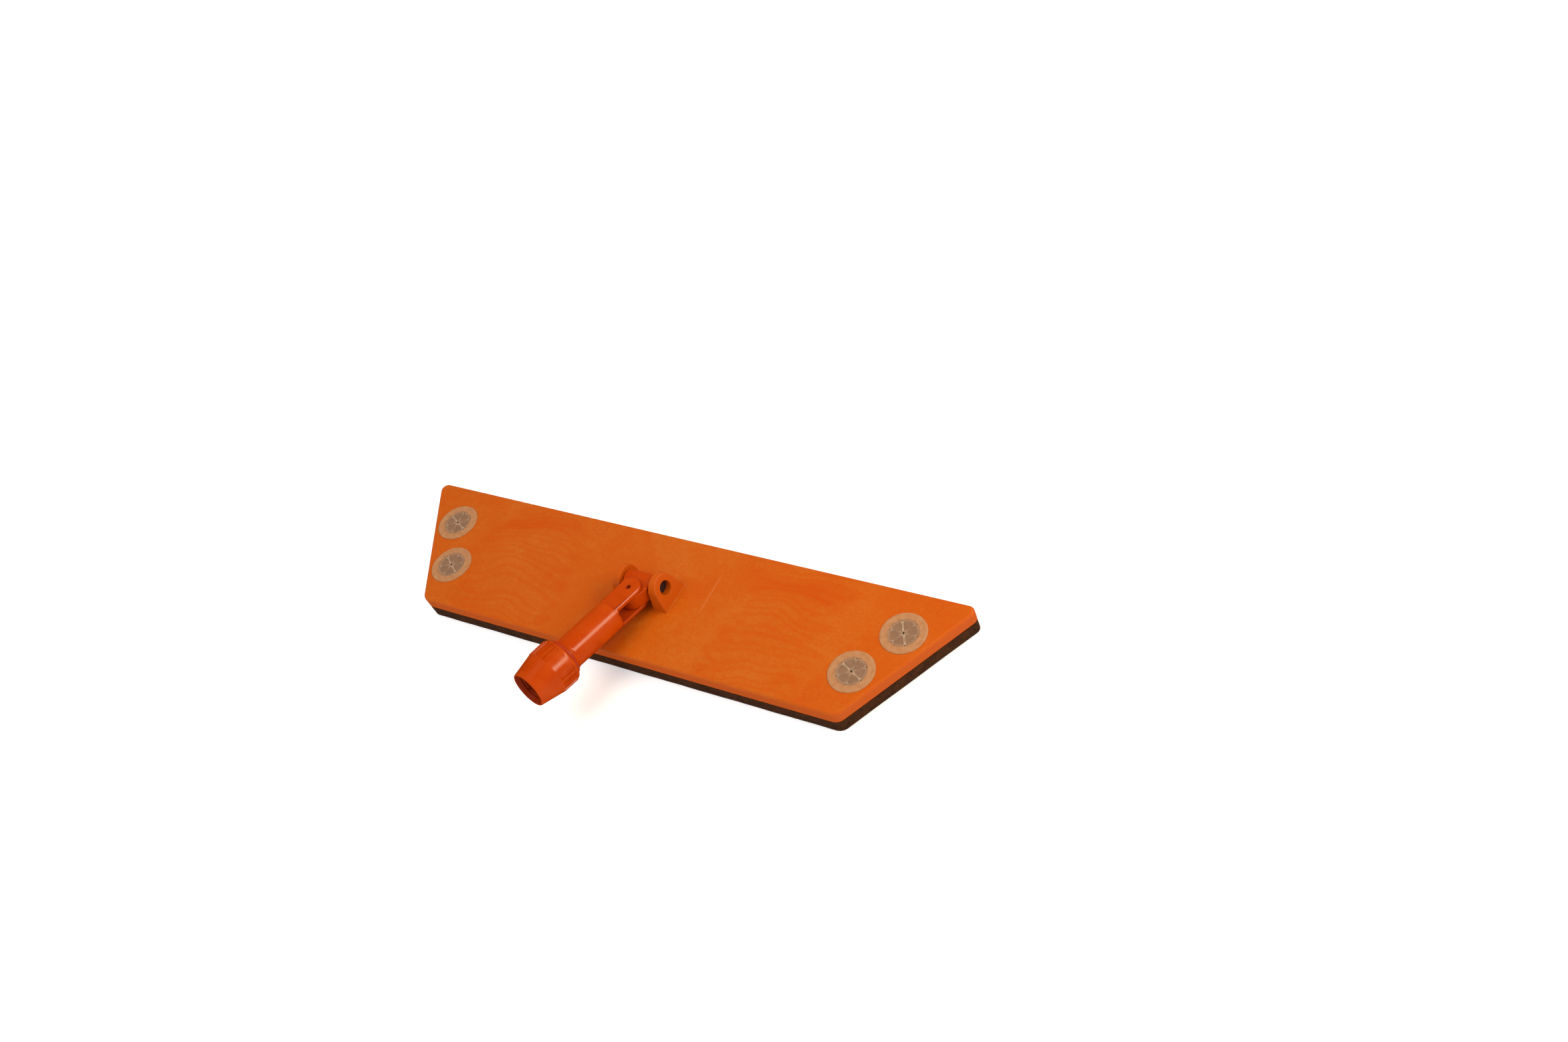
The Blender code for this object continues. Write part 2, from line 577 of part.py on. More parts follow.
# ---------------------------------------------------------------- assembly
def main():
    clear_scene()
    deck_orange = plastic("orange_polypropylene", (0.58, 0.10, 0.008), 0.42)
    joint_orange = plastic("red_orange_polypropylene", (0.60, 0.055, 0.002), 0.28)
    ring_red = plastic("red_polypropylene", (0.50, 0.012, 0.004), 0.30)
    pin_black = plastic("black_nylon", (0.010, 0.010, 0.013), 0.40)
    pin_steel = plastic("zinc_steel", (0.45, 0.43, 0.40), 0.35)
    pin_steel.node_tree.nodes["Principled BSDF"].inputs["Metallic"].default_value = 1.0
    rubber = plastic("milky_rubber", (0.48, 0.22, 0.09), 0.50)
    foam = plastic("dark_foam", (0.030, 0.012, 0.005), 0.90)

    build_base_plate(deck_orange)
    build_foam_pad(foam)
    places = grip_places()
    for label, turn in GRIP_TURNS.items():
        build_cloth_grip(label, places[label], turn, rubber)

    cross_place = (0.0, AXIS_Y, AXIS_Z)
    cross_axis = add_empty("cross_axis", cross_place, (TILT, 0.0, 0.0))
    socket_axis = add_empty("socket_axis", (0.0, 0.0, LINK), (0.0, -SWING, 0.0), cross_axis)
    build_pivot_pin(pin_black, cross_place)
    build_cross_piece(joint_orange, cross_axis)
    build_fork_pin(pin_steel, socket_axis)
    build_handle_socket(joint_orange, socket_axis)
    build_slip_ring(ring_red, socket_axis)
    build_lock_nut(joint_orange, socket_axis)


main()
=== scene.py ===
"""Trapezoid flat mop frame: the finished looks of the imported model, laid out as a Blender add-on.

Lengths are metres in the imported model's own frame: +X along the plate's long edge, +Y towards
the long (rear) edge, +Z up, and the ground at Z = 0.
"""

import json
import math

import bmesh
import bpy
from bpy.props import FloatProperty, FloatVectorProperty, IntProperty, PointerProperty
from bpy.types import Operator, Panel, PropertyGroup
from mathutils import Matrix, Vector


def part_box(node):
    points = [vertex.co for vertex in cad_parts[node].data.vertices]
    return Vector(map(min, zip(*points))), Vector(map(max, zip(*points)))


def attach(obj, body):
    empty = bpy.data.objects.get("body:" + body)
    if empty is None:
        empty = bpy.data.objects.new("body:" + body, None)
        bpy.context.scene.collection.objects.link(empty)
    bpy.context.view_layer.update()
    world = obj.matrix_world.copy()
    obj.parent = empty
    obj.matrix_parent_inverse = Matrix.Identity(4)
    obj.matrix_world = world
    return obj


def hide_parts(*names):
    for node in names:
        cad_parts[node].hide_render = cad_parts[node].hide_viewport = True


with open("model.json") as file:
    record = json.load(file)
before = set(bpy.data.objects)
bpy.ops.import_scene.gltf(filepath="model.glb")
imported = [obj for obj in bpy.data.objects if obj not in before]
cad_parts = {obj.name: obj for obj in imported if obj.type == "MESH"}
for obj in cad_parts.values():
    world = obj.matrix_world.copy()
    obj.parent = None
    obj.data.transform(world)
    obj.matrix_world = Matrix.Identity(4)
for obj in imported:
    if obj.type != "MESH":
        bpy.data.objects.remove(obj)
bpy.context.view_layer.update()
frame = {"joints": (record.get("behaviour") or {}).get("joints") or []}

bl_info = {
    "name": "Flat Mop Frame",
    "version": (1, 0, 0),
    "blender": (4, 5, 0),
    "location": "3D View > Sidebar > Mop Frame",
    "description": "Builds a trapezoid flat mop frame on its packed model",
    "category": "Object",
}

# ------------------------------------------------------------------ places taken from the frame
JOINTS = {joint["name"]: joint for joint in frame["joints"]}
AXLE = Vector(JOINTS["cross_tilt"]["pos_m"])            # middle of the pivot pin
FORK = Vector(JOINTS["socket_swing"]["pos_m"])          # middle of the fork pin
FORK_AXIS = Vector(JOINTS["socket_swing"]["axis"]).normalized()
TUBE_AXIS = Vector(JOINTS["nut_travel"]["axis"]).normalized()
FOAM_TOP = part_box("foam_pad")[1].z
PLATE_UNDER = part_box("base_plate")[0].z
PLATE_HALF_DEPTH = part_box("foam_pad")[1].y
GRIPS = ("front_left", "front_right", "rear_left", "rear_right")
LUG_INSIDE = 0.0157                                     # half the distance between the lugs
LUG_OUTSIDE = 0.0298                                    # middle to the lugs' outer feet
LUG_SLOPE = math.tan(math.radians(15.5))                # lean of that outer face
GAP = 0.0003                                            # between pieces that only touch
PLAY = 0.0004                                           # round the pins, and round the tube
RING_ROOM = 0.0016 + GAP                                # ring's middle to the shoulder and the nut
COLLET_END = 0.1212                                     # fork pin to the collet's end
JOINT_PLASTIC = "moulded polypropylene, red orange, polished"


def basis(origin, y_axis, z_axis):
    """A placement with the given local Y and Z directions."""
    x_axis = y_axis.cross(z_axis).normalized()
    turned_axes = Matrix((x_axis, y_axis, z_axis)).transposed().to_4x4()
    return Matrix.Translation(origin) @ turned_axes


CROSS_PLACE = basis(AXLE, FORK_AXIS, (FORK - AXLE).normalized())
SOCKET_PLACE = basis(FORK, FORK_AXIS, TUBE_AXIS)
RING_CENTRE = (Vector(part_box("slip_ring")[0]) + Vector(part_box("slip_ring")[1])) / 2.0
RING_MIDDLE = (RING_CENTRE - FORK).dot(TUBE_AXIS)       # fork pin to the middle of the slip ring
LINK = (FORK - AXLE).length

ALONG_X = Matrix.Rotation(math.radians(90.0), 4, "Y")
ALONG_Y = Matrix.Rotation(math.radians(-90.0), 4, "X")


# ------------------------------------------------------------------ shape helpers
def arc(radius, start, sweep, steps, centre=(0.0, 0.0)):
    """Points along an arc, with both its ends."""
    angles = [start + sweep * k / steps for k in range(steps + 1)]
    return [(centre[0] + radius * math.cos(a), centre[1] + radius * math.sin(a)) for a in angles]


def rounded_path(points, closed=False, steps=6):
    """Replace each (u, v, radius) corner by an arc of that radius."""
    path = []
    count = len(points)
    for i, (u, v, radius) in enumerate(points):
        here = Vector((u, v))
        inside = closed or 0 < i < count - 1
        if radius <= 0.0 or not inside:
            path.append((u, v))
            continue
        back = (Vector(points[i - 1][:2]) - here).normalized()
        ahead = (Vector(points[(i + 1) % count][:2]) - here).normalized()
        half = back.angle(ahead) / 2.0
        centre = here + (back + ahead).normalized() * radius / math.sin(half)
        first = here + back * radius / math.tan(half) - centre
        last = here + ahead * radius / math.tan(half) - centre
        start = math.atan2(first.y, first.x)
        sweep = math.remainder(math.atan2(last.y, last.x) - start, 2.0 * math.pi)
        path += arc(radius, start, sweep, steps, centre)
    return path


def add_turned(bm, profile, segments=96, place=None, closed=True):
    """Turn a (radius, height) profile about local Z; an open one starts and ends on the axis."""
    place = place or Matrix()
    rings = []
    for radius, height in profile:
        if radius < 1e-7:
            rings.append([bm.verts.new(place @ Vector((0.0, 0.0, height)))])
            continue
        ring = []
        for k in range(segments):
            angle = 2.0 * math.pi * k / segments
            ring.append(bm.verts.new(place @ Vector((radius * math.cos(angle),
                                                     radius * math.sin(angle), height))))
        rings.append(ring)
    pairs = list(zip(rings, rings[1:]))
    if closed:
        pairs.append((rings[-1], rings[0]))
    for low, high in pairs:
        for k in range(segments):
            ahead = (k + 1) % segments
            corners = [low[k % len(low)], low[ahead % len(low)],
                       high[ahead % len(high)], high[k % len(high)]]
            corners = list(dict.fromkeys(corners))
            if len(corners) > 2:
                bm.faces.new(corners)
    return bm


def add_loft(bm, rings, place=None):
    """Join closed rings of equal length, in order, and close both ends with a flat face."""
    place = place or Matrix()
    loops = [[bm.verts.new(place @ Vector(point)) for point in ring] for ring in rings]
    count = len(loops[0])
    for low, high in zip(loops, loops[1:]):
        for k in range(count):
            ahead = (k + 1) % count
            bm.faces.new((low[k], low[ahead], high[ahead], high[k]))
    bm.faces.new(loops[0][::-1])
    bm.faces.new(loops[-1])
    return bm


def add_bar(bm, half, radius, rounding, segments, place, steps=6):
    """A round bar along local Z about its middle, with rounded ends."""
    profile = rounded_path([(0.0, -half, 0.0), (radius, -half, rounding),
                            (radius, half, rounding), (0.0, half, 0.0)], steps=steps)
    return add_turned(bm, profile, segments, place, closed=False)


def add_block(bm, low, high, place=None):
    size = [high[i] - low[i] for i in range(3)]
    centre = [(high[i] + low[i]) / 2.0 for i in range(3)]
    matrix = Matrix.Translation(centre) @ Matrix.Diagonal((*size, 1.0))
    bmesh.ops.create_cube(bm, size=1.0, matrix=(place or Matrix()) @ matrix)
    return bm


def rim_steps(radius, steps):
    """(inset, drop) pairs that round a rim, from its side to its top."""
    angles = [math.pi / 2.0 * k / steps for k in range(steps + 1)]
    return [(radius * (1.0 - math.cos(a)), radius * (1.0 - math.sin(a))) for a in angles]


def new_object(name, bm):
    bmesh.ops.recalc_face_normals(bm, faces=bm.faces)
    mesh = bpy.data.meshes.new(name)
    bm.to_mesh(mesh)
    bm.free()
    obj = bpy.data.objects.new(name, mesh)
    bpy.context.scene.collection.objects.link(obj)
    return obj


def settle(obj):
    """Make what the modifiers show the object's own mesh, and drop the modifiers."""
    depsgraph = bpy.context.evaluated_depsgraph_get()
    made = bpy.data.meshes.new_from_object(obj.evaluated_get(depsgraph),
                                           preserve_all_data_layers=True, depsgraph=depsgraph)
    used = obj.data
    obj.modifiers.clear()
    obj.data = made
    bpy.data.meshes.remove(used)
    obj.data.name = obj.name


def combine(obj, bm, operation):
    """Join or cut with a closed shape that is thrown away afterwards."""
    other = new_object("shape", bm)
    modifier = obj.modifiers.new("combine", "BOOLEAN")
    modifier.operation = operation
    modifier.solver = "EXACT"
    modifier.object = other
    settle(obj)
    used = other.data
    bpy.data.objects.remove(other)
    bpy.data.meshes.remove(used)


def drill(obj, half, radius, segments, place):
    combine(obj, add_bar(bmesh.new(), half, radius, 0.0, segments, place), "DIFFERENCE")


def soften_edges(obj, width, pick, steps=3, angle=24.0):
    """Round the sharp edges whose middle the test picks."""
    bm = bmesh.new()
    bm.from_mesh(obj.data)
    bmesh.ops.remove_doubles(bm, verts=bm.verts, dist=2e-6)
    bmesh.ops.dissolve_degenerate(bm, edges=bm.edges, dist=2e-6)
    sharp = []
    for edge in bm.edges:
        if len(edge.link_faces) != 2 or edge.calc_face_angle(0.0) < math.radians(angle):
            continue
        if pick((edge.verts[0].co + edge.verts[1].co) / 2.0):
            sharp.append(edge)
    if not sharp:
        bm.free()
        raise RuntimeError(f"{obj.name}: no edge to round was found")
    bmesh.ops.bevel(bm, geom=sharp, offset=width, segments=steps, profile=0.5,
                    affect="EDGES", clamp_overlap=False)
    bm.to_mesh(obj.data)
    bm.free()


def finish_piece(obj, material, body, nodes, sharp=38.0):
    """Shade the piece, give it its material, and let it ride in place of its CAD nodes."""
    obj.data.shade_smooth()
    obj.data.set_sharp_from_angle(angle=math.radians(sharp))
    weighted = obj.modifiers.new("weighted", "WEIGHTED_NORMAL")
    weighted.keep_sharp = True
    weighted.weight = 90
    settle(obj)
    obj.data.materials.clear()
    obj.data.materials.append(material)
    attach(obj, body)
    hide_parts(*nodes)
    return obj


# ------------------------------------------------------------------ material helpers
def linear(colour, share=1.0):
    """An sRGB hex colour as linear RGBA, dimmed to a share of its light."""
    channels = [int(colour[i:i + 2], 16) / 255.0 for i in (1, 3, 5)]
    channels = [c / 12.92 if c <= 0.04045 else ((c + 0.055) / 1.055) ** 2.4 for c in channels]
    return (*[c * share for c in channels], 1.0)


def add_node(tree, kind, inputs=None, **settings):
    """Add a node: settings are its own, and inputs are constants or sockets to link from."""
    made = tree.nodes.new("ShaderNode" + kind)
    for name, setting in settings.items():
        setattr(made, name, setting)
    for socket, value in (inputs or {}).items():
        if isinstance(value, bpy.types.NodeSocket):
            tree.links.new(value, made.inputs[socket])
        else:
            made.inputs[socket].default_value = value
    return made


def colour_ramp(tree, source, *stops):
    """Colours through (position, hex) stops: the two ends first, then any between them."""
    made = add_node(tree, "ValToRGB", {"Fac": source})
    elements = made.color_ramp.elements
    for index, (position, *colour) in enumerate(stops):
        stop = elements[index] if index < 2 else elements.new(position)
        stop.position = position
        stop.color = linear(*colour)
    return made.outputs["Color"]


class Recipe:
    """A material in the making. Each method adds a node and gives back the socket with its
    result, and takes constants or other sockets."""

    def __init__(self, name):
        self.material = bpy.data.materials.new(name)
        self.material.use_nodes = True
        self.tree = self.material.node_tree
        self.tree.nodes.clear()
        self.place = self.add("TexCoord").outputs["Object"]     # metres from the piece's origin

    def add(self, kind, inputs=None, **settings):
        return add_node(self.tree, kind, inputs, **settings)

    def noise(self, scale, detail, at=None, **more):
        at = self.place if at is None else at
        inputs = {"Scale": scale, "Detail": detail, "Vector": at, **more}
        return self.add("TexNoise", inputs).outputs["Fac"]

    def maths(self, operation, *values):
        return self.add("Math", dict(enumerate(values)), operation=operation).outputs[0]

    def vector(self, operation, *values):
        made = self.add("VectorMath", dict(enumerate(values)), operation=operation)
        number = operation in ("DISTANCE", "DOT_PRODUCT", "LENGTH")
        return made.outputs["Value" if number else "Vector"]

    def split(self, source):
        return self.add("SeparateXYZ", {0: source}).outputs

    def flat(self, x, y):
        return self.add("CombineXYZ", {"X": x, "Y": y}).outputs[0]

    def remap(self, source, start, end, low=0.0, high=1.0, smooth=False):
        inputs = {"Value": source, "From Min": start, "From Max": end, "To Min": low,
                  "To Max": high}
        kind = "SMOOTHSTEP" if smooth else "LINEAR"
        return self.add("MapRange", inputs, interpolation_type=kind).outputs[0]

    def off(self, source, middle):
        return self.maths("ABSOLUTE", self.maths("SUBTRACT", source, middle))

    def colours(self, source, *stops):
        return colour_ramp(self.tree, source, *stops)

    def blend(self, share, under, over):
        inputs = {"Factor": share, "A": under, "B": over}
        return self.add("Mix", inputs, data_type="RGBA").outputs["Result"]

    def finish(self, colour, roughness, bump, **skin):
        """Close with a principled skin: bump is (height, strength, distance), and skin names the
        skin's sockets with _ for a space."""
        inputs = {"Base Color": colour, "Roughness": roughness}
        inputs.update({name.replace("_", " "): value for name, value in skin.items()})
        if bump:
            bump = dict(zip(("Height", "Strength", "Distance"), bump))
            inputs["Normal"] = self.add("Bump", bump).outputs[0]
        shader = self.add("BsdfPrincipled", inputs)
        self.add("OutputMaterial", {"Surface": shader.outputs[0]})
        return self.material


def moulded_polypropylene_deck(plate):
    """Injection-moulded polypropylene on a fine spark-eroded tool: a satin skin, with swirled
    flow marks where the colour masterbatch didn't mix, paler frosted zones between them, and
    the rings that the ejector pins leave."""
    mix = Recipe("moulded polypropylene, orange, spark-eroded")
    swirl = mix.add("TexNoise", {"Scale": 13.0, "Detail": 1.0, "Vector": mix.place})
    centred = mix.vector("SUBTRACT", swirl.outputs["Color"], (0.5, 0.5, 0.5))
    pushed = mix.vector("MULTIPLY", centred, (0.085, 0.055, 0.0))
    warped = mix.vector("ADD", mix.place, pushed)
    axes, bent = mix.split(mix.place), mix.split(warped)
    across = mix.maths("ABSOLUTE", axes["X"])
    bent_across = mix.maths("ABSOLUTE", bent["X"])

    # closed loops of melt, where the two streams from the gate meet the ends' flow
    wave = mix.add("TexWave", {"Scale": 9.2, "Distortion": 1.1, "Detail": 0.0,
                               "Detail Scale": 0.8, "Vector": warped}, bands_direction="Y")
    swing = mix.remap(wave.outputs["Fac"], 0.0, 1.0, -1.0, 1.0)
    zone = mix.maths("MULTIPLY", mix.remap(bent_across, 0.075, 0.125, smooth=True),
                     mix.remap(bent_across, 0.215, 0.155, smooth=True))
    lobes = mix.maths("ABSOLUTE", mix.maths("MULTIPLY", swing, zone))
    looped = mix.remap(mix.off(lobes, 0.55), 0.38, 0.06, smooth=True)

    # saturated smears behind the loops, near the rear edge
    smear_from = mix.vector("MULTIPLY", mix.flat(bent_across, bent["Y"]), (0.22, 1.0, 0.0))
    smear_reach = mix.vector("DISTANCE", smear_from, (0.031, 0.045, 0.0))
    smear = mix.remap(smear_reach, 0.014, 0.005, smooth=True)

    # broad clouds, a hand's width, and the grain of the tool. The real grain is about 0.1 mm
    # and wouldn't show, so it is drawn at 1.6 mm
    cloud = mix.noise(17.0, 3.0, warped, Roughness=0.6)
    grain = mix.noise(620.0, 2.0)
    mottle = mix.noise(150.0, 3.0, Roughness=0.7)
    frost = mix.remap(cloud, 0.30, 0.70, 0.28, 0.72)
    frost = mix.maths("MULTIPLY_ADD", looped, -0.17, frost)
    frost = mix.maths("MULTIPLY_ADD", smear, -0.26, frost)
    frost = mix.maths("ADD", frost, mix.remap(grain, 0.3, 0.7, -0.18, 0.18))
    frost = mix.maths("ADD", frost, mix.remap(mottle, 0.3, 0.7, -0.10, 0.10))

    # the lugs and the side walls were moulded against polished steel, so they are not frosted
    deck = AXLE.z - plate.axis_height
    plain = mix.maths("MAXIMUM", mix.remap(axes["Z"], deck + 0.0003, deck + 0.0020),
                      mix.remap(axes["Z"], deck - 0.0012, deck - 0.0030))
    frost = mix.add("Mix", {"Factor": plain, "A": frost, "B": 0.30},
                    clamp_result=True).outputs["Result"]

    # ejector rings, in two rows that mirror left to right
    folded = mix.flat(across, axes["Y"])
    nearest = None
    for x, y in ((0.088, 0.055), (0.262, 0.0555), (0.088, -0.053), (0.198, -0.052)):
        reach = mix.vector("DISTANCE", folded, (x, y, 0.0))
        away = mix.off(reach, plate.ejector_diameter / 2.0)
        nearest = away if nearest is None else mix.maths("MINIMUM", nearest, away)
    ring = mix.remap(nearest, 0.0007, 0.0002, smooth=True)

    # one pale weld line beside the right lug
    weld = mix.maths("MULTIPLY",
                     mix.remap(mix.off(axes["X"], 0.059), 0.0009, 0.0003, smooth=True),
                     mix.remap(mix.off(axes["Y"], 0.0145), 0.026, 0.014, smooth=True))

    colour = mix.colours(frost, (0.0, "#C24A00"), (1.0, "#C4661A"), (0.5, "#C25604"))
    colour = mix.blend(mix.maths("MULTIPLY", ring, 0.30), colour, linear("#A8430A"))
    colour = mix.blend(mix.maths("MULTIPLY", weld, 0.26), colour, linear("#D98A52"))
    roughness = mix.remap(frost, 0.0, 1.0, 0.36, 0.50)
    height = mix.maths("MULTIPLY_ADD", ring, 0.9, grain)
    return mix.finish(colour, roughness, (height, 0.22, 0.00025),
                      IOR=1.49, Specular_IOR_Level=0.20)


def moulded_polypropylene_joint(gloss):
    """Polypropylene from a polished tool: a redder, glossier orange that gives long clean
    highlights, with slow sink marks and faint flow streaks in the colour."""
    mix = Recipe(JOINT_PLASTIC)
    streaks = mix.noise(60.0, 3.0, Distortion=0.6)
    grain = mix.noise(900.0, 2.0)
    sink = mix.noise(110.0, 1.0)
    colour = mix.colours(streaks, (0.30, "#BC3C00", 0.92), (0.72, "#C04400"))

    # painted shade on the bore's wall: the wall is darkened inside the collet, and inside the nut
    # beyond it
    from_fork = mix.vector("SUBTRACT", mix.place, FORK)
    station = mix.vector("DOT_PRODUCT", from_fork, TUBE_AXIS)
    reach = mix.vector("LENGTH", mix.vector("CROSS_PRODUCT", from_fork, TUBE_AXIS))
    wall = mix.remap(station, 0.1205, 0.1215, 0.0131, 0.0161)
    inside = mix.remap(mix.maths("SUBTRACT", wall, reach), 0.0, 0.0004, 0.0, 0.75)
    bore_shade = mix.maths("MULTIPLY", inside, mix.maths("GREATER_THAN", station, 0.032))
    colour = mix.blend(bore_shade, colour, linear("#701402"))

    roughness = mix.remap(streaks, 0.3, 0.7, gloss - 0.03, gloss + 0.05)
    height = mix.maths("MULTIPLY_ADD", grain, 0.10, sink)
    return mix.finish(colour, roughness, (height, 0.12, 0.0003),
                      IOR=1.49, Specular_IOR_Level=0.40)


def speckled(name, speck, colours, roughness, bump, **skin):
    """A skin whose colour, roughness and height all follow one fine noise."""
    mix = Recipe(name)
    fine = mix.noise(*speck[:2], Distortion=speck[2])
    colour = mix.colours(fine, (0.0, colours[0]), (1.0, colours[1]))
    return mix.finish(colour, mix.remap(fine, 0.0, 1.0, *roughness), (fine, *bump), **skin)


def moulded_polypropylene_ring():
    """The same plastic in signal red, thin and polished, a little duller where it rubs."""
    return speckled("moulded polypropylene, red, polished", (240.0, 3.0, 0.0),
                    ("#A82C04", "#BE3A06"), (0.26, 0.40), (0.08, 0.0002),
                    IOR=1.49, Specular_IOR_Level=0.42)


def moulded_nylon_black():
    """Black glass-filled nylon, moulded: a dull skin with a fine fibrous mottle."""
    return speckled("moulded nylon, black, glass filled", (700.0, 4.0, 1.0),
                    ("#0D0D12", "#1C1C24"), (0.38, 0.55), (0.15, 0.0002), IOR=1.53)


def zinc_plated_steel():
    """Zinc-plated steel wire, cut and tumbled: a grey metal with a fine dull mottle."""
    return speckled("zinc-plated steel, tumbled", (1200.0, 3.0, 0.0),
                    ("#8E8B86", "#B9B6AF"), (0.30, 0.48), (0.1, 0.0001), Metallic=1.0)


def moulded_elastomer_milky(grip):
    """Uncoloured thermoplastic elastomer, moulded: a milky skin. Over the deck the orange warms it;
    over the hollow behind the petals it is painted grey, standing for the shaded cup below and the
    dark foam's own colour seen through the skin, with a soft edge between the two."""
    mix = Recipe("moulded elastomer, milky")
    axes = mix.split(mix.place)
    reach = mix.vector("LENGTH", mix.flat(axes["X"], axes["Y"]))
    blotch = mix.noise(190.0, 3.0)
    grain = mix.noise(1500.0, 2.0)
    spread = mix.maths("MULTIPLY_ADD", blotch, 0.0016, reach)
    edge = grip.hollow_radius
    # over the hollow the petals are painted grey: painted shade of the cup below, together with the
    # dark foam's own colour, seen through the skin
    hollow = mix.remap(spread, edge + 0.0028, edge - 0.0008, smooth=True)
    flange = mix.colours(blotch, (0.3, "#B07548"), (0.7, "#BC875C"))
    petals = mix.colours(blotch, (0.3, "#86634A"), (0.7, "#957055"))
    colour = mix.blend(hollow, flange, petals)

    # the raised lips beside the slits are painted lighter: a painted highlight along their crests
    lifted = mix.remap(axes["Z"], -0.00058, -0.00012)
    lips = mix.maths("MULTIPLY", lifted, mix.maths("LESS_THAN", reach, edge - 0.0006))
    colour = mix.blend(lips, colour, linear("#DDBB9A"))
    return mix.finish(colour, mix.remap(blotch, 0.0, 1.0, 0.34, 0.52), (grain, 0.12, 0.0002),
                      IOR=1.50, Specular_IOR_Level=0.40, Subsurface_Weight=0.25,
                      Subsurface_Radius=(1.0, 0.55, 0.35), Subsurface_Scale=0.0012)


def cut_cell_foam():
    """Dark brown closed-cell rubber foam, sawn to size: a matt face pitted with cut cells. The
    real cells are about 0.4 mm; they are drawn at 1.1 mm so that they show."""
    mix = Recipe("closed-cell rubber foam, dark brown, sawn")
    cells = mix.add("TexVoronoi", {"Scale": 900.0, "Randomness": 1.0, "Vector": mix.place},
                    feature="F1")
    clumps = mix.noise(90.0, 4.0, Roughness=0.65)
    # the cut cells are painted darker towards their middles: painted shade in the pits, mixed with
    # the foam's own clumpy tone
    walls = mix.remap(cells.outputs["Distance"], 0.15, 0.75)
    share = mix.maths("MULTIPLY_ADD", walls, 0.55, clumps)
    colour = mix.colours(share, (0.30, "#1C0D05"), (1.0, "#4A2810"))
    return mix.finish(colour, mix.remap(clumps, 0.0, 1.0, 0.80, 0.95), (share, 0.7, 0.0005),
                      IOR=1.45, Specular_IOR_Level=0.15)


def painted_floor():
    """Matt white emulsion, rolled: an even pale ground with a barely visible stipple."""
    mix = Recipe("matt white paint, rolled")
    colour = mix.colours(mix.noise(8.0, 4.0), (0.0, "#F1F0EE"), (1.0, "#F6F5F4"))
    return mix.finish(colour, 0.9, None, Specular_IOR_Level=0.1, Emission_Strength=0.35)


# ------------------------------------------------------------------ settings
def metres(name, default, description):
    """A size in metres."""
    return FloatProperty(name=name, description=description, default=default, unit="LENGTH")


class MopPlateSettings(PropertyGroup):
    long_edge: metres("Long Edge", 0.600, "Rear edge between its square corners")
    short_edge: metres("Short Edge", 0.452, "Front edge between its square corners")
    depth: metres("Depth", 2.0 * PLATE_HALF_DEPTH, "Front edge to rear edge")
    front_corner: metres("Front Corner", 0.0105, "Radius of the blunt corners")
    rear_corner: metres("Rear Corner", 0.0065, "Radius of the acute corners")
    rim_radius: metres("Rim Radius", 0.0026, "Rounding of the deck's top rim")
    deck_wall: metres("Deck Wall", 0.0032, "Thickness of the moulded top")
    lug_radius: metres("Lug Radius", 0.0131, "Round top of the lugs")
    lug_half_foot: metres("Lug Half Foot", 0.0164, "Half the lugs' width at the deck")
    lug_rim: metres("Lug Rim", 0.0013, "Rounding of the lugs' outer rim")
    lug_bore: metres("Lug Bore", 0.0066, "Radius of the bore in the lugs")
    axis_height: metres("Axis Height", 0.0157, "Pivot axis above the deck")
    ejector_diameter: metres("Ejector Diameter", 0.013, "Diameter of the ejector pins' rings")


class MopFoamSettings(PropertyGroup):
    edge_radius: metres("Edge Radius", 0.0004, "Worn rounding of the foam's edges")
    waviness: metres("Waviness", 0.00025, "How far the sawn side strays")


class MopGripSettings(PropertyGroup):
    flange_radius: metres("Flange Radius", 0.0202, "Radius of the rubber disc")
    hollow_radius: metres("Hollow Radius", 0.0133, "Radius that the petals fill")
    neck_radius: metres("Neck Radius", 0.0146, "Neck through the deck")
    slit: metres("Slit", 0.00022, "Gap between petals")
    eye_radius: metres("Eye Radius", 0.0009, "Centre hole")
    lip_height: metres("Lip Height", 0.00045, "Raised lip beside each slit")
    petals: IntProperty(name="Petals", description="Number of petals", default=6)


class MopJointSettings(PropertyGroup):
    barrel_radius: metres("Barrel Radius", 0.0090, "Barrel between the lugs")
    barrel_half: metres("Barrel Half Length", 0.0151, "Half the barrel's length")
    tongue_radius: metres("Tongue Radius", 0.0108, "Round end of the tongue")
    tongue_half: metres("Tongue Half Thickness", 0.0068, "Half the tongue's thickness")
    pivot_radius: metres("Pivot Pin Radius", 0.0060, "Radius of the pivot pin")
    fork_pin_radius: metres("Fork Pin Radius", 0.0021, "Radius of the fork pin")
    gloss_roughness: FloatProperty(name="Gloss Roughness",
                                   description="Roughness of the polished mouldings",
                                   default=0.19, min=0.04, max=1.0)


class MopSocketSettings(PropertyGroup):
    tube_radius: metres("Tube Radius", 0.01486, "Outside radius of the tube")
    bore_radius: metres("Bore Radius", 0.0126, "Bore for a 25 mm handle")
    ear_flat: metres("Ear Flat", 0.0115, "Fork pin's centre to the ears' flats")
    ear_radius: metres("Ear Radius", 0.0110, "Round ends of the ears")
    fork_depth: metres("Fork Depth", 0.0256, "Fork pin to the slot's bottom")
    edge_radius: metres("Edge Radius", 0.0005, "Rounding of the fork's edges")


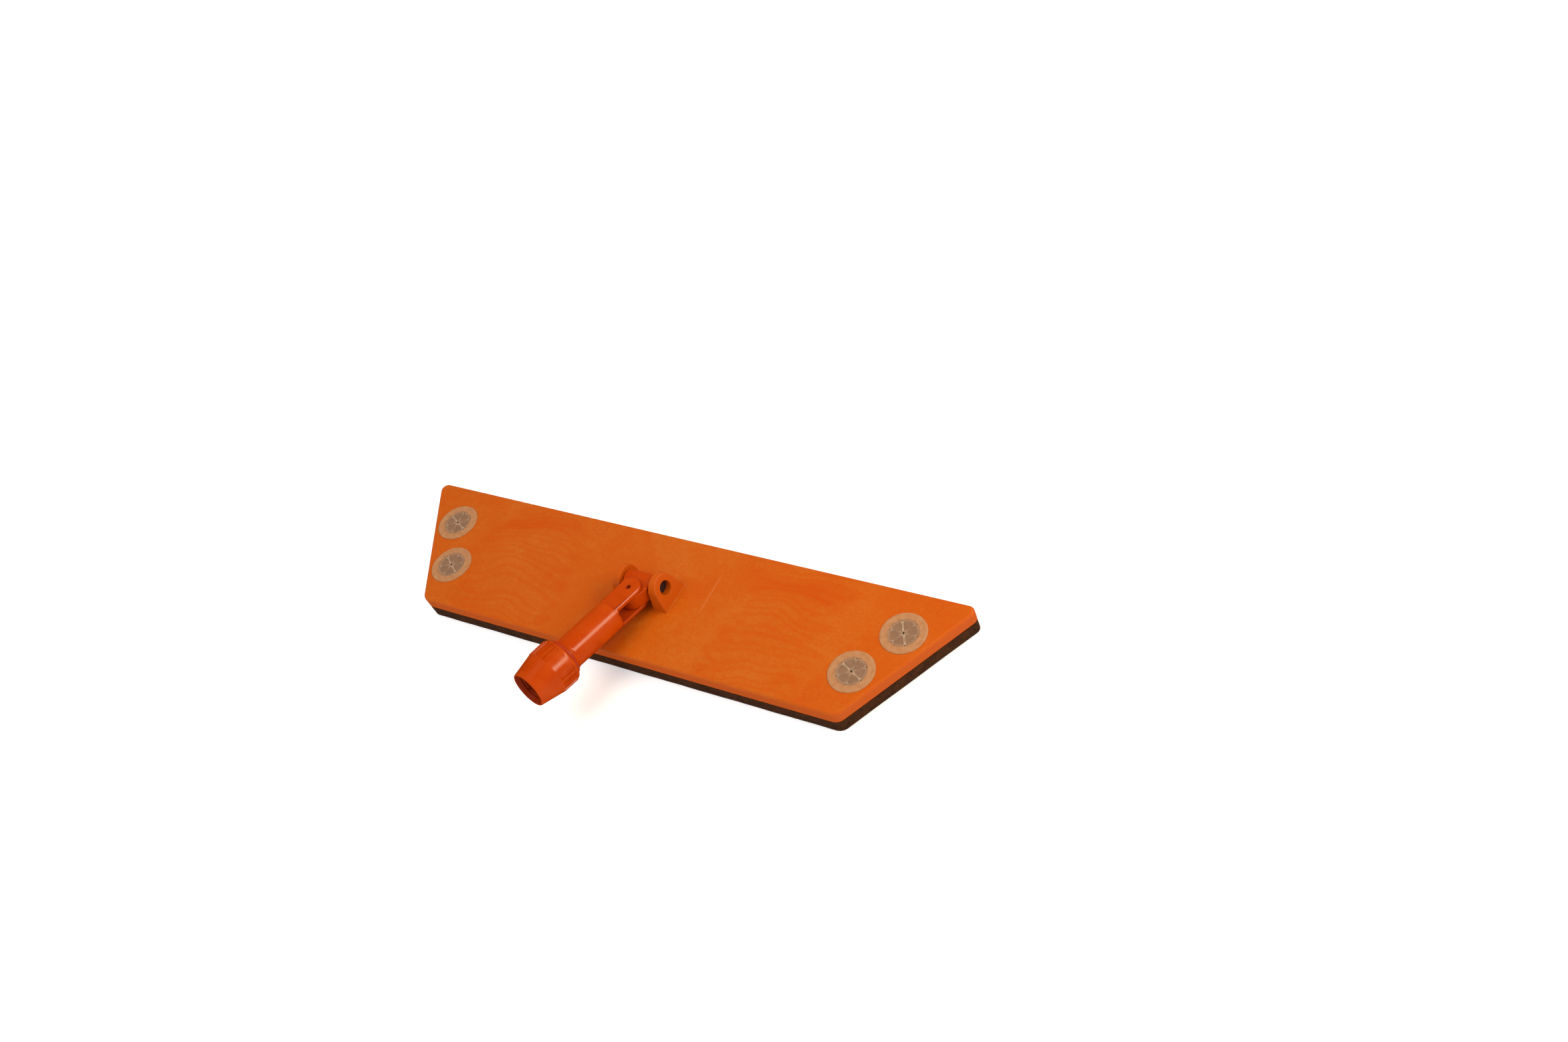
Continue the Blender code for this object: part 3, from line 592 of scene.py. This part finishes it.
class MopNutSettings(PropertyGroup):
    rear_radius: metres("Rear Radius", 0.0204, "Radius of the rear face")
    grip_radius: metres("Grip Radius", 0.0217, "Radius over the smooth band")
    mouth_radius: metres("Mouth Radius", 0.01708, "Outside radius at the mouth")
    length: metres("Length", 0.0410, "Rear face to mouth")
    ribs: IntProperty(name="Ribs", description="Rib places round the nut", default=24)
    rib_width: metres("Rib Width", 0.0013, "Width of a rib")
    rib_height: metres("Rib Height", 0.00055, "Height of a rib")
    flute_depth: metres("Flute Depth", 0.00095, "Depth of the flutes between ribs")
    ring_radius: metres("Ring Radius", 0.0180, "Outside radius of the slip ring")


class MopStageSettings(PropertyGroup):
    silk_strength: FloatProperty(name="Silk Strength",
                                 description="Light from the overhead silk, in W per square metre",
                                 default=1.45, min=0.0)
    strip_power: FloatProperty(name="Strip Power", description="Power of the strip softbox",
                               default=12.0, unit="POWER")
    dome_strength: FloatProperty(name="Dome Strength", description="Strength of the pale dome",
                                 default=1.0, min=0.0)
    floor_size: metres("Floor Size", 14.0, "Side of the floor")


class MopFrameSettings(PropertyGroup):
    plate: PointerProperty(type=MopPlateSettings)
    foam: PointerProperty(type=MopFoamSettings)
    grip: PointerProperty(type=MopGripSettings)
    joint: PointerProperty(type=MopJointSettings)
    socket: PointerProperty(type=MopSocketSettings)
    nut: PointerProperty(type=MopNutSettings)
    stage: PointerProperty(type=MopStageSettings)


def joint_material(joint):
    """The polished red-orange plastic that the cross piece, the socket and the nut share."""
    made = bpy.data.materials.get(JOINT_PLASTIC)
    return made or moulded_polypropylene_joint(joint.gloss_roughness)


# ------------------------------------------------------------------ base plate and foam
def trapezoid(plate, inset, steps=14):
    """The plate's outline, moved inwards, counter-clockwise."""
    run = (plate.long_edge - plate.short_edge) / 2.0
    slope = run / plate.depth
    middle = (plate.long_edge + plate.short_edge) / 4.0
    front = -plate.depth / 2.0 + inset
    rear = plate.depth / 2.0 - inset

    def side(y):
        return middle + y * slope - inset * math.sqrt(1.0 + slope * slope)

    blunt, acute = plate.front_corner - inset, plate.rear_corner - inset
    corners = [(-side(front), front, blunt), (side(front), front, blunt),
               (side(rear), rear, acute), (-side(rear), rear, acute)]
    return rounded_path(corners, closed=True, steps=steps)


def tombstone(plate, inset):
    """A lug's outline about the axle, as (y, z) from the deck; its foot is sunk in the deck."""
    half = plate.lug_half_foot - inset
    sink = -plate.deck_wall * 0.6
    radius = plate.lug_radius - inset
    height = plate.axis_height
    lean = math.acos(radius / math.hypot(half, height)) - math.atan2(height, half)
    top = arc(radius, lean, math.pi - 2.0 * lean, 48, (0.0, height))
    return [(-half, sink), (half, sink), (half, 0.0), *top, (-half, 0.0)]


def lug_rings(plate, side):
    """Rings from the lug's flat inner face to its sloping outer face."""
    deck = AXLE.z - plate.axis_height
    rings = []
    for inset, drop in reversed(rim_steps(0.0006, 3)):
        rings.append([(LUG_INSIDE + drop, y, z, 0.0) for y, z in tombstone(plate, inset)])
    for inset, drop in rim_steps(plate.lug_rim, 7):
        rings.append([(LUG_OUTSIDE - drop, y, z, LUG_SLOPE) for y, z in tombstone(plate, inset)])
    placed = []
    for ring in rings:
        placed.append([(side * (x - z * lean), AXLE.y + y, deck + z) for x, y, z, lean in ring])
    return placed


class MOPFRAME_OT_base_plate(Operator):
    """Build the trapezoid base plate with its two lugs and the four grip seats"""

    bl_idname = "mop_frame.base_plate"
    bl_label = "Base Plate"

    def execute(self, context):
        plate = context.scene.mop_frame.plate
        grip = context.scene.mop_frame.grip
        deck = AXLE.z - plate.axis_height
        rings = []
        for inset, drop in reversed(rim_steps(0.0010, 4)):
            rings.append([(x, y, PLATE_UNDER + drop) for x, y in trapezoid(plate, inset)])
        for inset, drop in rim_steps(plate.rim_radius, 7):
            rings.append([(x, y, deck - drop) for x, y in trapezoid(plate, inset)])
        obj = new_object("deck_moulding", add_loft(bmesh.new(), rings))
        for side in (-1.0, 1.0):
            combine(obj, add_loft(bmesh.new(), lug_rings(plate, side)), "UNION")

        # each grip's seat: a shallow recess, the neck's hole, and the cup under the deck
        seat = deck - 0.0009
        under = deck - plate.deck_wall
        rim = grip.flange_radius + GAP
        hole = grip.neck_radius + GAP
        cup = 0.0165
        profile = [(0.0, 0.0), (cup, 0.0), (cup, under), (hole, under), (hole, seat), (rim, seat),
                   (rim, deck - 0.0003), (rim + 0.0003, deck + 0.0001),
                   (rim + 0.0003, deck + 0.004), (0.0, deck + 0.004)]
        for label in GRIPS:
            low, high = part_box("cloth_grip_" + label)
            centre = (low + high) / 2.0
            place = Matrix.Translation((centre.x, centre.y, 0.0))
            combine(obj, add_turned(bmesh.new(), profile, 72, place, closed=False), "DIFFERENCE")

        drill(obj, 0.06, plate.lug_bore, 64, Matrix.Translation(AXLE) @ ALONG_X)

        def on_bore(point):
            off = math.hypot(point.y - AXLE.y, point.z - AXLE.z)
            return abs(off - plate.lug_bore) < 0.0002 and abs(point.x) < 0.035

        def on_foot(point):
            near = abs(point.x) < 0.031 and abs(point.y - AXLE.y) < 0.018
            return near and abs(point.z - deck) < 0.00005

        soften_edges(obj, 0.0004, on_bore)
        soften_edges(obj, 0.0005, on_foot)
        finish_piece(obj, moulded_polypropylene_deck(plate), "base",
                     ["base_plate"], sharp=35.0)
        return {"FINISHED"}


class MOPFRAME_OT_foam_pad(Operator):
    """Build the dark foam pad that carries the mop cloth"""

    bl_idname = "mop_frame.foam_pad"
    bl_label = "Foam Pad"

    def execute(self, context):
        plate = context.scene.mop_frame.plate
        foam = context.scene.mop_frame.foam
        levels = rim_steps(foam.edge_radius, 3)[::-1]
        levels += [(0.0, FOAM_TOP * share) for share in (0.2, 0.35, 0.5, 0.65, 0.8)]
        levels += [(inset, FOAM_TOP - drop) for inset, drop in rim_steps(foam.edge_radius, 3)]
        outline = trapezoid(plate, 0.0)
        dense = []
        for here, ahead in zip(outline, outline[1:] + outline[:1]):
            gap = math.dist(here, ahead)
            count = max(1, round(gap / 0.005))
            dense += [(here[0] + (ahead[0] - here[0]) * k / count,
                       here[1] + (ahead[1] - here[1]) * k / count) for k in range(count)]
        rings = []
        for inset, height in levels:
            ring = []
            for k, (x, y) in enumerate(dense):
                before, after = Vector(dense[k - 1]), Vector(dense[(k + 1) % len(dense)])
                inward = Vector((before.y - after.y, after.x - before.x)).normalized()
                wave = (math.sin(x * 91.0 + y * 57.0 + height * 310.0)
                        + math.sin(x * 233.0 - y * 149.0 + 1.7) * 0.6
                        + math.sin(x * 517.0 + y * 401.0 + height * 900.0) * 0.3)
                crown = math.sin(math.pi * height / FOAM_TOP)
                push = inset + foam.waviness * (0.5 + 0.26 * wave) * (1.25 - 0.5 * crown)
                ring.append((x + inward.x * push, y + inward.y * push, height))
            rings.append(ring)
        obj = new_object("foam_sheet", add_loft(bmesh.new(), rings))
        finish_piece(obj, cut_cell_foam(), "base", ["foam_pad"])
        return {"FINISHED"}


# ------------------------------------------------------------------ cloth grips
def add_petal(bm, grip, first, lips, top, under):
    """One petal from its slit at angle first to the next slit; lips are the two slits' heights."""
    width = 2.0 * math.pi / grip.petals
    reach = grip.hollow_radius + 0.0004
    dot = 0.00055                                           # the round hole that ends each slit
    dot_at = grip.hollow_radius - 0.0006
    radii = [grip.eye_radius, 0.0013, 0.0019, 0.0028]
    while radii[-1] < dot_at - 2.6 * dot:
        radii.append(radii[-1] + 0.0013)
    radii = radii[:-1]
    radii += [dot_at + dot * s for s in (-2.2, -1.25, -1.0, -0.8, -0.5, 0.0, 0.5, 0.8, 1.0, 1.2)]
    radii.append(reach)
    shares = (0.0, 0.035, 0.075, 0.12, 0.19, 0.32, 0.5, 0.68, 0.81, 0.88, 0.925, 0.965, 1.0)
    tops, unders = [], []
    for radius in radii:
        cut = grip.slit / 2.0
        if abs(radius - dot_at) < dot:
            cut = max(cut, math.sqrt(dot * dot - (radius - dot_at) ** 2))
        edge = min(math.asin(min(0.98, cut / radius)), width * 0.42)
        row, row_under = [], []
        for share in shares:
            angle = first + edge + (width - 2.0 * edge) * share
            from_first = radius * math.sin(angle - first) - cut
            from_second = radius * math.sin(first + width - angle) - cut
            rise = 0.0
            for away, lip in ((from_first, lips[0]), (from_second, lips[1])):
                rise += lip * math.exp(-((away - 0.0003) / 0.00042) ** 2)
            fade = 1.0 - max(0.0, min(1.0, (radius - dot_at + 0.0012) / 0.0012))
            fade *= max(0.0, min(1.0, (radius - 0.0013) / 0.0016))
            rise *= fade * grip.lip_height
            droop = 0.00035 * math.sin(math.pi * min(1.0, radius / reach))
            x, y = radius * math.cos(angle), radius * math.sin(angle)
            row.append(bm.verts.new((x, y, top - droop + rise)))
            row_under.append(bm.verts.new((x, y, under - droop)))
        tops.append(row)
        unders.append(row_under)
    last_row, last = len(radii) - 1, len(shares) - 1
    for i in range(last_row):
        for k in range(last):
            bm.faces.new((tops[i][k], tops[i + 1][k], tops[i + 1][k + 1], tops[i][k + 1]))
            bm.faces.new((unders[i][k + 1], unders[i + 1][k + 1], unders[i + 1][k], unders[i][k]))
        bm.faces.new((tops[i][0], unders[i][0], unders[i + 1][0], tops[i + 1][0]))
        bm.faces.new((tops[i][last], tops[i + 1][last], unders[i + 1][last], unders[i][last]))
    for k in range(last):
        bm.faces.new((tops[0][k], tops[0][k + 1], unders[0][k + 1], unders[0][k]))
        bm.faces.new((tops[last_row][k + 1], tops[last_row][k], unders[last_row][k],
                      unders[last_row][k + 1]))


class MOPFRAME_OT_cloth_grips(Operator):
    """Build the four milky rubber grips that hold the tucked corners of the cloth"""

    bl_idname = "mop_frame.cloth_grips"
    bl_label = "Cloth Grips"

    def execute(self, context):
        plate = context.scene.mop_frame.plate
        grip = context.scene.mop_frame.grip
        material = moulded_elastomer_milky(grip)
        turns = {"front_left": 25.8, "front_right": 34.5, "rear_left": 34.1, "rear_right": 0.0}

        # the flange turned about the grip's own axis; heights are from the top of its dome
        low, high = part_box("cloth_grip_rear_right")
        deck = AXLE.z - plate.axis_height - high.z
        foot = low.z - high.z
        under = deck - 0.0006
        clip = deck - plate.deck_wall - GAP
        lip = 0.0159                                        # holds the neck under the deck
        hollow, neck, rim = grip.hollow_radius, grip.neck_radius, grip.flange_radius
        flange = [
            (hollow, -0.0019, 0.0), (hollow, foot, 0.0002), (neck, foot, 0.0002),
            (lip, foot + 0.0010, 0.0003), (lip, clip, 0.0002), (neck, clip, 0.0),
            (neck, under, 0.0), (rim, under, 0.0), (rim, deck + 0.00003, 0.0),
            (rim + 0.0006, deck + 0.00003, 0.0001), (rim + 0.0003, -0.0004, 0.0004),
            (rim - 0.0012, 0.0, 0.0016), (rim - 0.0034, -0.00026, 0.0060),
            (hollow + 0.0006, -0.00018, 0.0010), (hollow, -0.0005, 0.0004),
        ]
        for label in GRIPS:
            low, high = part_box("cloth_grip_" + label)
            bm = bmesh.new()
            add_turned(bm, rounded_path(flange, closed=True, steps=4), 72)
            for k in range(grip.petals):
                lips = [1.0 if slit % 3 == 2 else 0.55 for slit in (k, k + 1)]
                add_petal(bm, grip, 2.0 * math.pi * k / grip.petals, lips, -0.0004, -0.0016)
            obj = new_object("rubber_grip_" + label, bm)
            centre = (low + high) / 2.0
            obj.location = (centre.x, centre.y, high.z)
            obj.rotation_euler = (0.0, 0.0, math.radians(turns[label]))
            finish_piece(obj, material, "base", ["cloth_grip_" + label])
        return {"FINISHED"}


# ------------------------------------------------------------------ joint
class MOPFRAME_OT_cross_piece(Operator):
    """Build the cross piece: a barrel on the pivot pin and a tongue in the fork"""

    bl_idname = "mop_frame.cross_piece"
    bl_label = "Cross Piece"

    def execute(self, context):
        joint = context.scene.mop_frame.joint
        half = joint.barrel_half
        outer = joint.barrel_radius
        obj = new_object("cross_moulding", add_bar(bmesh.new(), half, outer, 0.0008, 72,
                                                   CROSS_PLACE @ ALONG_X))

        # a web as wide as the barrel that narrows to the tongue's round end
        reach = 0.0120
        web = half - 0.0011
        span = math.hypot(web, LINK - reach)
        lean = math.atan2(reach - LINK, web) + math.acos(joint.tongue_radius / span)
        outline = [(-web, 0.0), (web, 0.0), (web, reach - 0.0008), (web - 0.0003, reach)]
        outline += arc(joint.tongue_radius, lean, math.pi - 2.0 * lean, 32, (0.0, LINK))
        outline += [(-web + 0.0003, reach), (-web, reach - 0.0008)]
        rim = [(inset, joint.tongue_half - drop) for inset, drop in rim_steps(0.0006, 3)]
        rings = []
        for inset, y in [(inset, -y) for inset, y in reversed(rim)] + rim:
            rings.append([(x * (1.0 - inset / web), y,
                           LINK * 0.5 + (z - LINK * 0.5) * (1.0 - inset / LINK))
                          for x, z in outline])
        combine(obj, add_loft(bmesh.new(), rings, CROSS_PLACE), "UNION")

        def in_valley(point):
            local = CROSS_PLACE.inverted() @ point
            on_barrel = abs(math.hypot(local.y, local.z) - outer) < 0.0001
            return on_barrel and local.z > 0.002 and abs(local.x) < web + 0.0002

        soften_edges(obj, 0.0006, in_valley)
        drill(obj, 0.03, joint.pivot_radius + PLAY, 64, CROSS_PLACE @ ALONG_X)
        drill(obj, 0.02, joint.fork_pin_radius + PLAY, 40,
              CROSS_PLACE @ Matrix.Translation((0.0, 0.0, LINK)) @ ALONG_Y)
        finish_piece(obj, joint_material(joint), "cross", ["cross_piece"])
        return {"FINISHED"}


class MOPFRAME_OT_pins(Operator):
    """Build the black pivot pin and the steel fork pin"""

    bl_idname = "mop_frame.pins"
    bl_label = "Pins"

    def execute(self, context):
        joint = context.scene.mop_frame.joint
        socket = context.scene.mop_frame.socket
        bm = add_bar(bmesh.new(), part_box("pivot_pin")[1].x, joint.pivot_radius, 0.0009, 64,
                     Matrix.Translation(AXLE) @ ALONG_X)
        finish_piece(new_object("pivot_axle", bm), moulded_nylon_black(), "base",
                     ["pivot_pin"])
        bm = add_bar(bmesh.new(), socket.ear_flat - 0.0026, joint.fork_pin_radius, 0.0005, 40,
                     SOCKET_PLACE @ ALONG_Y, steps=4)
        finish_piece(new_object("fork_rivet", bm), zinc_plated_steel(), "socket",
                     ["fork_pin"])
        return {"FINISHED"}


# ------------------------------------------------------------------ handle socket, ring and nut
class MOPFRAME_OT_handle_socket(Operator):
    """Build the handle socket: fork, tube and slotted collet in one moulding"""

    bl_idname = "mop_frame.handle_socket"
    bl_label = "Handle Socket"

    def execute(self, context):
        socket = context.scene.mop_frame.socket
        joint = context.scene.mop_frame.joint
        tube, bore = socket.tube_radius, socket.bore_radius
        floor = socket.fork_depth + 0.0075
        shoulder = RING_MIDDLE - RING_ROOM
        seam = socket.fork_depth + 0.0012                   # a fine parting line round the tube
        profile = rounded_path([
            (0.0, -0.022, 0.0), (tube, -0.022, 0.0), (tube, seam - 0.0003, 0.0),
            (tube - 0.0003, seam, 0.0002), (tube, seam + 0.0003, 0.0),
            (tube, shoulder - 0.0032, 0.004), (0.0160, shoulder - 0.0007, 0.0006),
            (0.0160, shoulder, 0.0002), (tube, shoulder, 0.0002), (tube, 0.1000, 0.01),
            (0.0140, COLLET_END, 0.0004),
            (bore + 0.0006, COLLET_END, 0.0003), (bore, COLLET_END - 0.0012, 0.001),
            (bore, floor, 0.0015), (0.0, floor, 0.0)], steps=4)
        obj = new_object("socket_moulding",
                         add_turned(bmesh.new(), profile, 96, SOCKET_PLACE, closed=False))

        # the ears' outline: round ends, then out to the tube at a step clear of the slot's end
        wide = 2.2 * tube
        depth = socket.fork_depth
        ear = socket.ear_radius
        step = depth - 0.0010
        outline = [(-wide, 0.25), (-wide, step), (-ear, step), *arc(ear, math.pi, math.pi, 32),
                   (ear, step), (wide, step), (wide, 0.25)]
        rings = [[(x, y, z) for x, z in outline] for y in (-wide, wide)]
        combine(obj, add_loft(bmesh.new(), rings, SOCKET_PLACE), "INTERSECT")

        slot = joint.tongue_half + PLAY
        flat = socket.ear_flat
        bm = bmesh.new()
        for low, high in ((-slot, slot), (flat, wide), (-wide, -flat)):
            add_block(bm, (-wide, low, -0.04), (wide, high, depth), SOCKET_PLACE)
        combine(obj, bm, "DIFFERENCE")
        drill(obj, 0.03, joint.fork_pin_radius + GAP, 40, SOCKET_PLACE @ ALONG_Y)
        to_local = SOCKET_PLACE.inverted()

        def on_fork(point):
            return (to_local @ point).z < depth + 0.0002

        soften_edges(obj, socket.edge_radius, on_fork)

        # four slots part the collet into fingers
        bm = bmesh.new()
        for k in range(4):
            turn = SOCKET_PLACE @ Matrix.Rotation(math.radians(90.0 * (k + 0.5)), 4, "Z")
            add_block(bm, (bore / 2.0, -0.0010, COLLET_END - 0.0280),
                      (2.0 * tube, 0.0010, 0.25), turn)
        combine(obj, bm, "DIFFERENCE")

        # a small pip that the runner leaves near the ring
        angle = math.radians(22.0)
        out = Vector((-math.sin(angle), math.cos(angle), 0.0))
        spot = out * (tube - 0.0002) + Vector((0.0, 0.0, 0.0752))
        place = (SOCKET_PLACE @ Matrix.Translation(spot)
                 @ out.to_track_quat("Z", "X").to_matrix().to_4x4())
        profile = [(0.0, -0.0006), (0.0008, -0.0006), (0.00075, 0.0002), (0.0004, 0.0004),
                   (0.0, 0.0004)]
        combine(obj, add_turned(bmesh.new(), profile, 20, place, closed=False), "UNION")
        finish_piece(obj, joint_material(joint), "socket", ["handle_socket"])
        return {"FINISHED"}


class MOPFRAME_OT_slip_ring(Operator):
    """Build the red slip ring between the tube's shoulder and the nut"""

    bl_idname = "mop_frame.slip_ring"
    bl_label = "Slip Ring"

    def execute(self, context):
        nut = context.scene.mop_frame.nut
        bore = context.scene.mop_frame.socket.tube_radius + PLAY
        outer = nut.ring_radius
        half = 0.0013
        profile = rounded_path([(bore, -half, 0.0002), (outer - 0.0004, -half, 0.0005),
                                (outer, 0.0, 0.0010), (outer - 0.0004, half, 0.0005),
                                (bore, half, 0.0002)], closed=True, steps=6)
        place = SOCKET_PLACE @ Matrix.Translation((0.0, 0.0, RING_MIDDLE))
        obj = new_object("red_ring", add_turned(bmesh.new(), profile, 96, place))
        finish_piece(obj, moulded_polypropylene_ring(), "ring", ["slip_ring"])
        return {"FINISHED"}


class MOPFRAME_OT_lock_nut(Operator):
    """Build the ribbed lock nut that closes the collet on the handle"""

    bl_idname = "mop_frame.lock_nut"
    bl_label = "Lock Nut"

    def execute(self, context):
        nut = context.scene.mop_frame.nut
        joint = context.scene.mop_frame.joint
        bore = context.scene.mop_frame.socket.tube_radius + PLAY
        place = SOCKET_PLACE @ Matrix.Translation((0.0, 0.0, RING_MIDDLE + RING_ROOM))
        grip, mouth, end = nut.grip_radius, nut.mouth_radius, nut.length
        cone = 0.0134                                       # the inner cone's narrow end
        band = 0.0192                                       # rear face to the ribbed band's end
        bend = grip - 0.00016                               # the radius there
        profile = rounded_path([
            (bore, 0.0, 0.0003), (nut.rear_radius, 0.0, 0.0006), (grip - 0.0002, 0.0016, 0.0012),
            (grip, 0.0030, 0.004), (bend, band, 0.0010),
            (mouth + 0.0001, end - 0.0004, 0.0004), (mouth - 0.0004, end, 0.0002),
            (0.0158, end, 0.0003), (0.0150, end - 0.0008, 0.001), (cone, end - 0.0038, 0.0004),
            (cone, end - 0.0045, 0.0002), (0.0146, end - 0.0045, 0.0), (bore, 0.0146, 0.002),
        ], closed=True, steps=5)
        obj = new_object("nut_moulding", add_turned(bmesh.new(), profile, 120, place))

        # flutes between the rib places, but not in two smooth panels on opposite sides
        plain = (3, 4, 15, 16)
        first = math.pi / 2.0 + math.radians(5.0)
        pitch = 2.0 * math.pi / nut.ribs
        half = nut.rib_width / 2.0
        bm = bmesh.new()
        for k in range(nut.ribs):
            if k in plain or (k + 1) % nut.ribs in plain:
                continue
            wide = (grip - 0.001) * math.sin(pitch / 2.0) - half * 0.7
            turn = place @ Matrix.Rotation(first - pitch * (k + 0.5), 4, "Z")
            rings = []
            for height, deep in ((0.0024, -0.3), (0.0038, 0.9), (0.0046, 1.0), (0.0170, 1.0),
                                 (0.0180, 0.9), (0.0193, -0.3)):
                low = grip + (bend - grip) * height / band - nut.flute_depth * deep
                rings.append([(low, -wide, height), (low, wide, height),
                              (grip + 0.003, wide + 0.0004, height),
                              (grip + 0.003, -wide - 0.0004, height)])
            add_loft(bm, rings, turn)
        combine(obj, bm, "DIFFERENCE")

        # the ribs themselves, rounded across and run out at both ends
        bm = bmesh.new()
        for k in range(nut.ribs):
            if k in plain:
                continue
            turn = place @ Matrix.Rotation(first - pitch * k, 4, "Z")
            rings = []
            for height, grow in ((0.0026, 0.0), (0.0029, 0.6), (0.0034, 0.9), (0.0042, 1.0),
                                 (0.0110, 1.0), (0.0176, 1.0), (0.0184, 0.9), (0.0189, 0.6),
                                 (band, 0.0)):
                lean = grip + (bend - grip) * max(0.0, (height - 0.003) / (band - 0.003))
                ring = []
                for across, rise in ((-1.3, -2.4), (-1.0, 0.1), (-0.72, 0.72), (0.0, 1.0),
                                     (0.72, 0.72), (1.0, 0.1), (1.3, -2.4)):
                    out = rise * nut.rib_height * (grow if rise > 0.0 else 1.0)
                    ring.append((lean + out, half * across, height))
                rings.append(ring)
            add_loft(bm, rings, turn)
        combine(obj, bm, "UNION")
        finish_piece(obj, joint_material(joint), "nut", ["lock_nut"])
        return {"FINISHED"}


# ------------------------------------------------------------------ stage
class MOPFRAME_OT_stage(Operator):
    """Set the floor, the soft studio lights and the camera"""

    bl_idname = "mop_frame.stage"
    bl_label = "Stage"

    def execute(self, context):
        scene = context.scene
        stage = scene.mop_frame.stage
        half = stage.floor_size / 2.0
        bm = bmesh.new()
        bmesh.ops.create_grid(bm, x_segments=4, y_segments=4, size=half)
        floor = new_object("floor", bm)
        floor.location.z = -0.0004
        floor.data.materials.append(painted_floor())
        floor.visible_glossy = False

        # an overhead silk lights everything evenly and shows in no reflection; one long
        # softbox at the right gives the mouldings their highlight
        target = Vector((-0.01, -0.06, 0.045))
        silk = bpy.data.lights.new("overhead_silk", "SUN")
        silk.energy = stage.silk_strength
        silk.angle = math.radians(42.0)
        strip = bpy.data.lights.new("strip_softbox", "AREA")
        strip.shape = "RECTANGLE"
        strip.size = 1.1
        strip.size_y = 0.42
        strip.energy = stage.strip_power
        strip.color = linear("#FFF0CC")[:3]
        for light, place in ((silk, (-0.40, -0.42, 1.6)), (strip, (1.09, 0.50, 0.90))):
            obj = bpy.data.objects.new(light.name, light)
            scene.collection.objects.link(obj)
            obj.location = place
            obj.rotation_euler = (target - Vector(place)).to_track_quat("-Z", "Y").to_euler()
            obj.visible_glossy = light is strip

        world = bpy.data.worlds.new("studio")
        scene.world = world
        world.use_nodes = True
        tree = world.node_tree
        tree.nodes.clear()
        up = add_node(tree, "SeparateXYZ", {0: add_node(tree, "TexCoord").outputs["Generated"]})
        dome = colour_ramp(tree, up.outputs["Z"], (0.0, "#F2F2F1"), (0.55, "#B4B4B6"))
        sky = add_node(tree, "Background", {"Strength": stage.dome_strength, "Color": dome})
        add_node(tree, "OutputWorld", {"Surface": sky.outputs[0]})
        world.cycles_visibility.glossy = False

        camera = bpy.data.cameras.new("camera")
        camera.lens = 35.353
        camera.sensor_width = 36.0
        camera.clip_end = 60.0
        viewer = bpy.data.objects.new("camera", camera)
        scene.collection.objects.link(viewer)
        viewer.location = (0.7804, -0.5534, 1.0227)
        viewer.rotation_euler = [math.radians(a) for a in (41.043, 16.967, 27.860)]
        scene.camera = viewer
        scene.view_settings.view_transform = "Standard"
        return {"FINISHED"}


class MOPFRAME_PT_panel(Panel):
    """Lists the pieces and the sizes that a user would change"""

    bl_idname = "MOPFRAME_PT_panel"
    bl_label = "Flat Mop Frame"
    bl_space_type = "VIEW_3D"
    bl_region_type = "UI"
    bl_category = "Mop Frame"

    def draw(self, context):
        settings = context.scene.mop_frame
        for operator, group in STEPS:
            column = self.layout.column(align=True)
            column.operator(operator)
            if group:
                values = getattr(settings, group)
                for name in values.__annotations__:
                    column.prop(values, name)


STEPS = (
    ("mop_frame.base_plate", "plate"),
    ("mop_frame.foam_pad", "foam"),
    ("mop_frame.cloth_grips", "grip"),
    ("mop_frame.cross_piece", "joint"),
    ("mop_frame.pins", ""),
    ("mop_frame.handle_socket", "socket"),
    ("mop_frame.slip_ring", ""),
    ("mop_frame.lock_nut", "nut"),
    ("mop_frame.stage", "stage"),
)

CLASSES = (
    MopPlateSettings, MopFoamSettings, MopGripSettings, MopJointSettings, MopSocketSettings,
    MopNutSettings, MopStageSettings, MopFrameSettings,
    MOPFRAME_OT_base_plate, MOPFRAME_OT_foam_pad, MOPFRAME_OT_cloth_grips,
    MOPFRAME_OT_cross_piece, MOPFRAME_OT_pins, MOPFRAME_OT_handle_socket,
    MOPFRAME_OT_slip_ring, MOPFRAME_OT_lock_nut, MOPFRAME_OT_stage, MOPFRAME_PT_panel,
)


def register():
    for cls in CLASSES:
        bpy.utils.register_class(cls)
    bpy.types.Scene.mop_frame = PointerProperty(type=MopFrameSettings)


def unregister():
    del bpy.types.Scene.mop_frame
    for cls in reversed(CLASSES):
        bpy.utils.unregister_class(cls)


def main():
    register()
    for operator, _ in STEPS:
        module, name = operator.split(".")
        getattr(getattr(bpy.ops, module), name)()


if __name__ == "__main__":
    main()
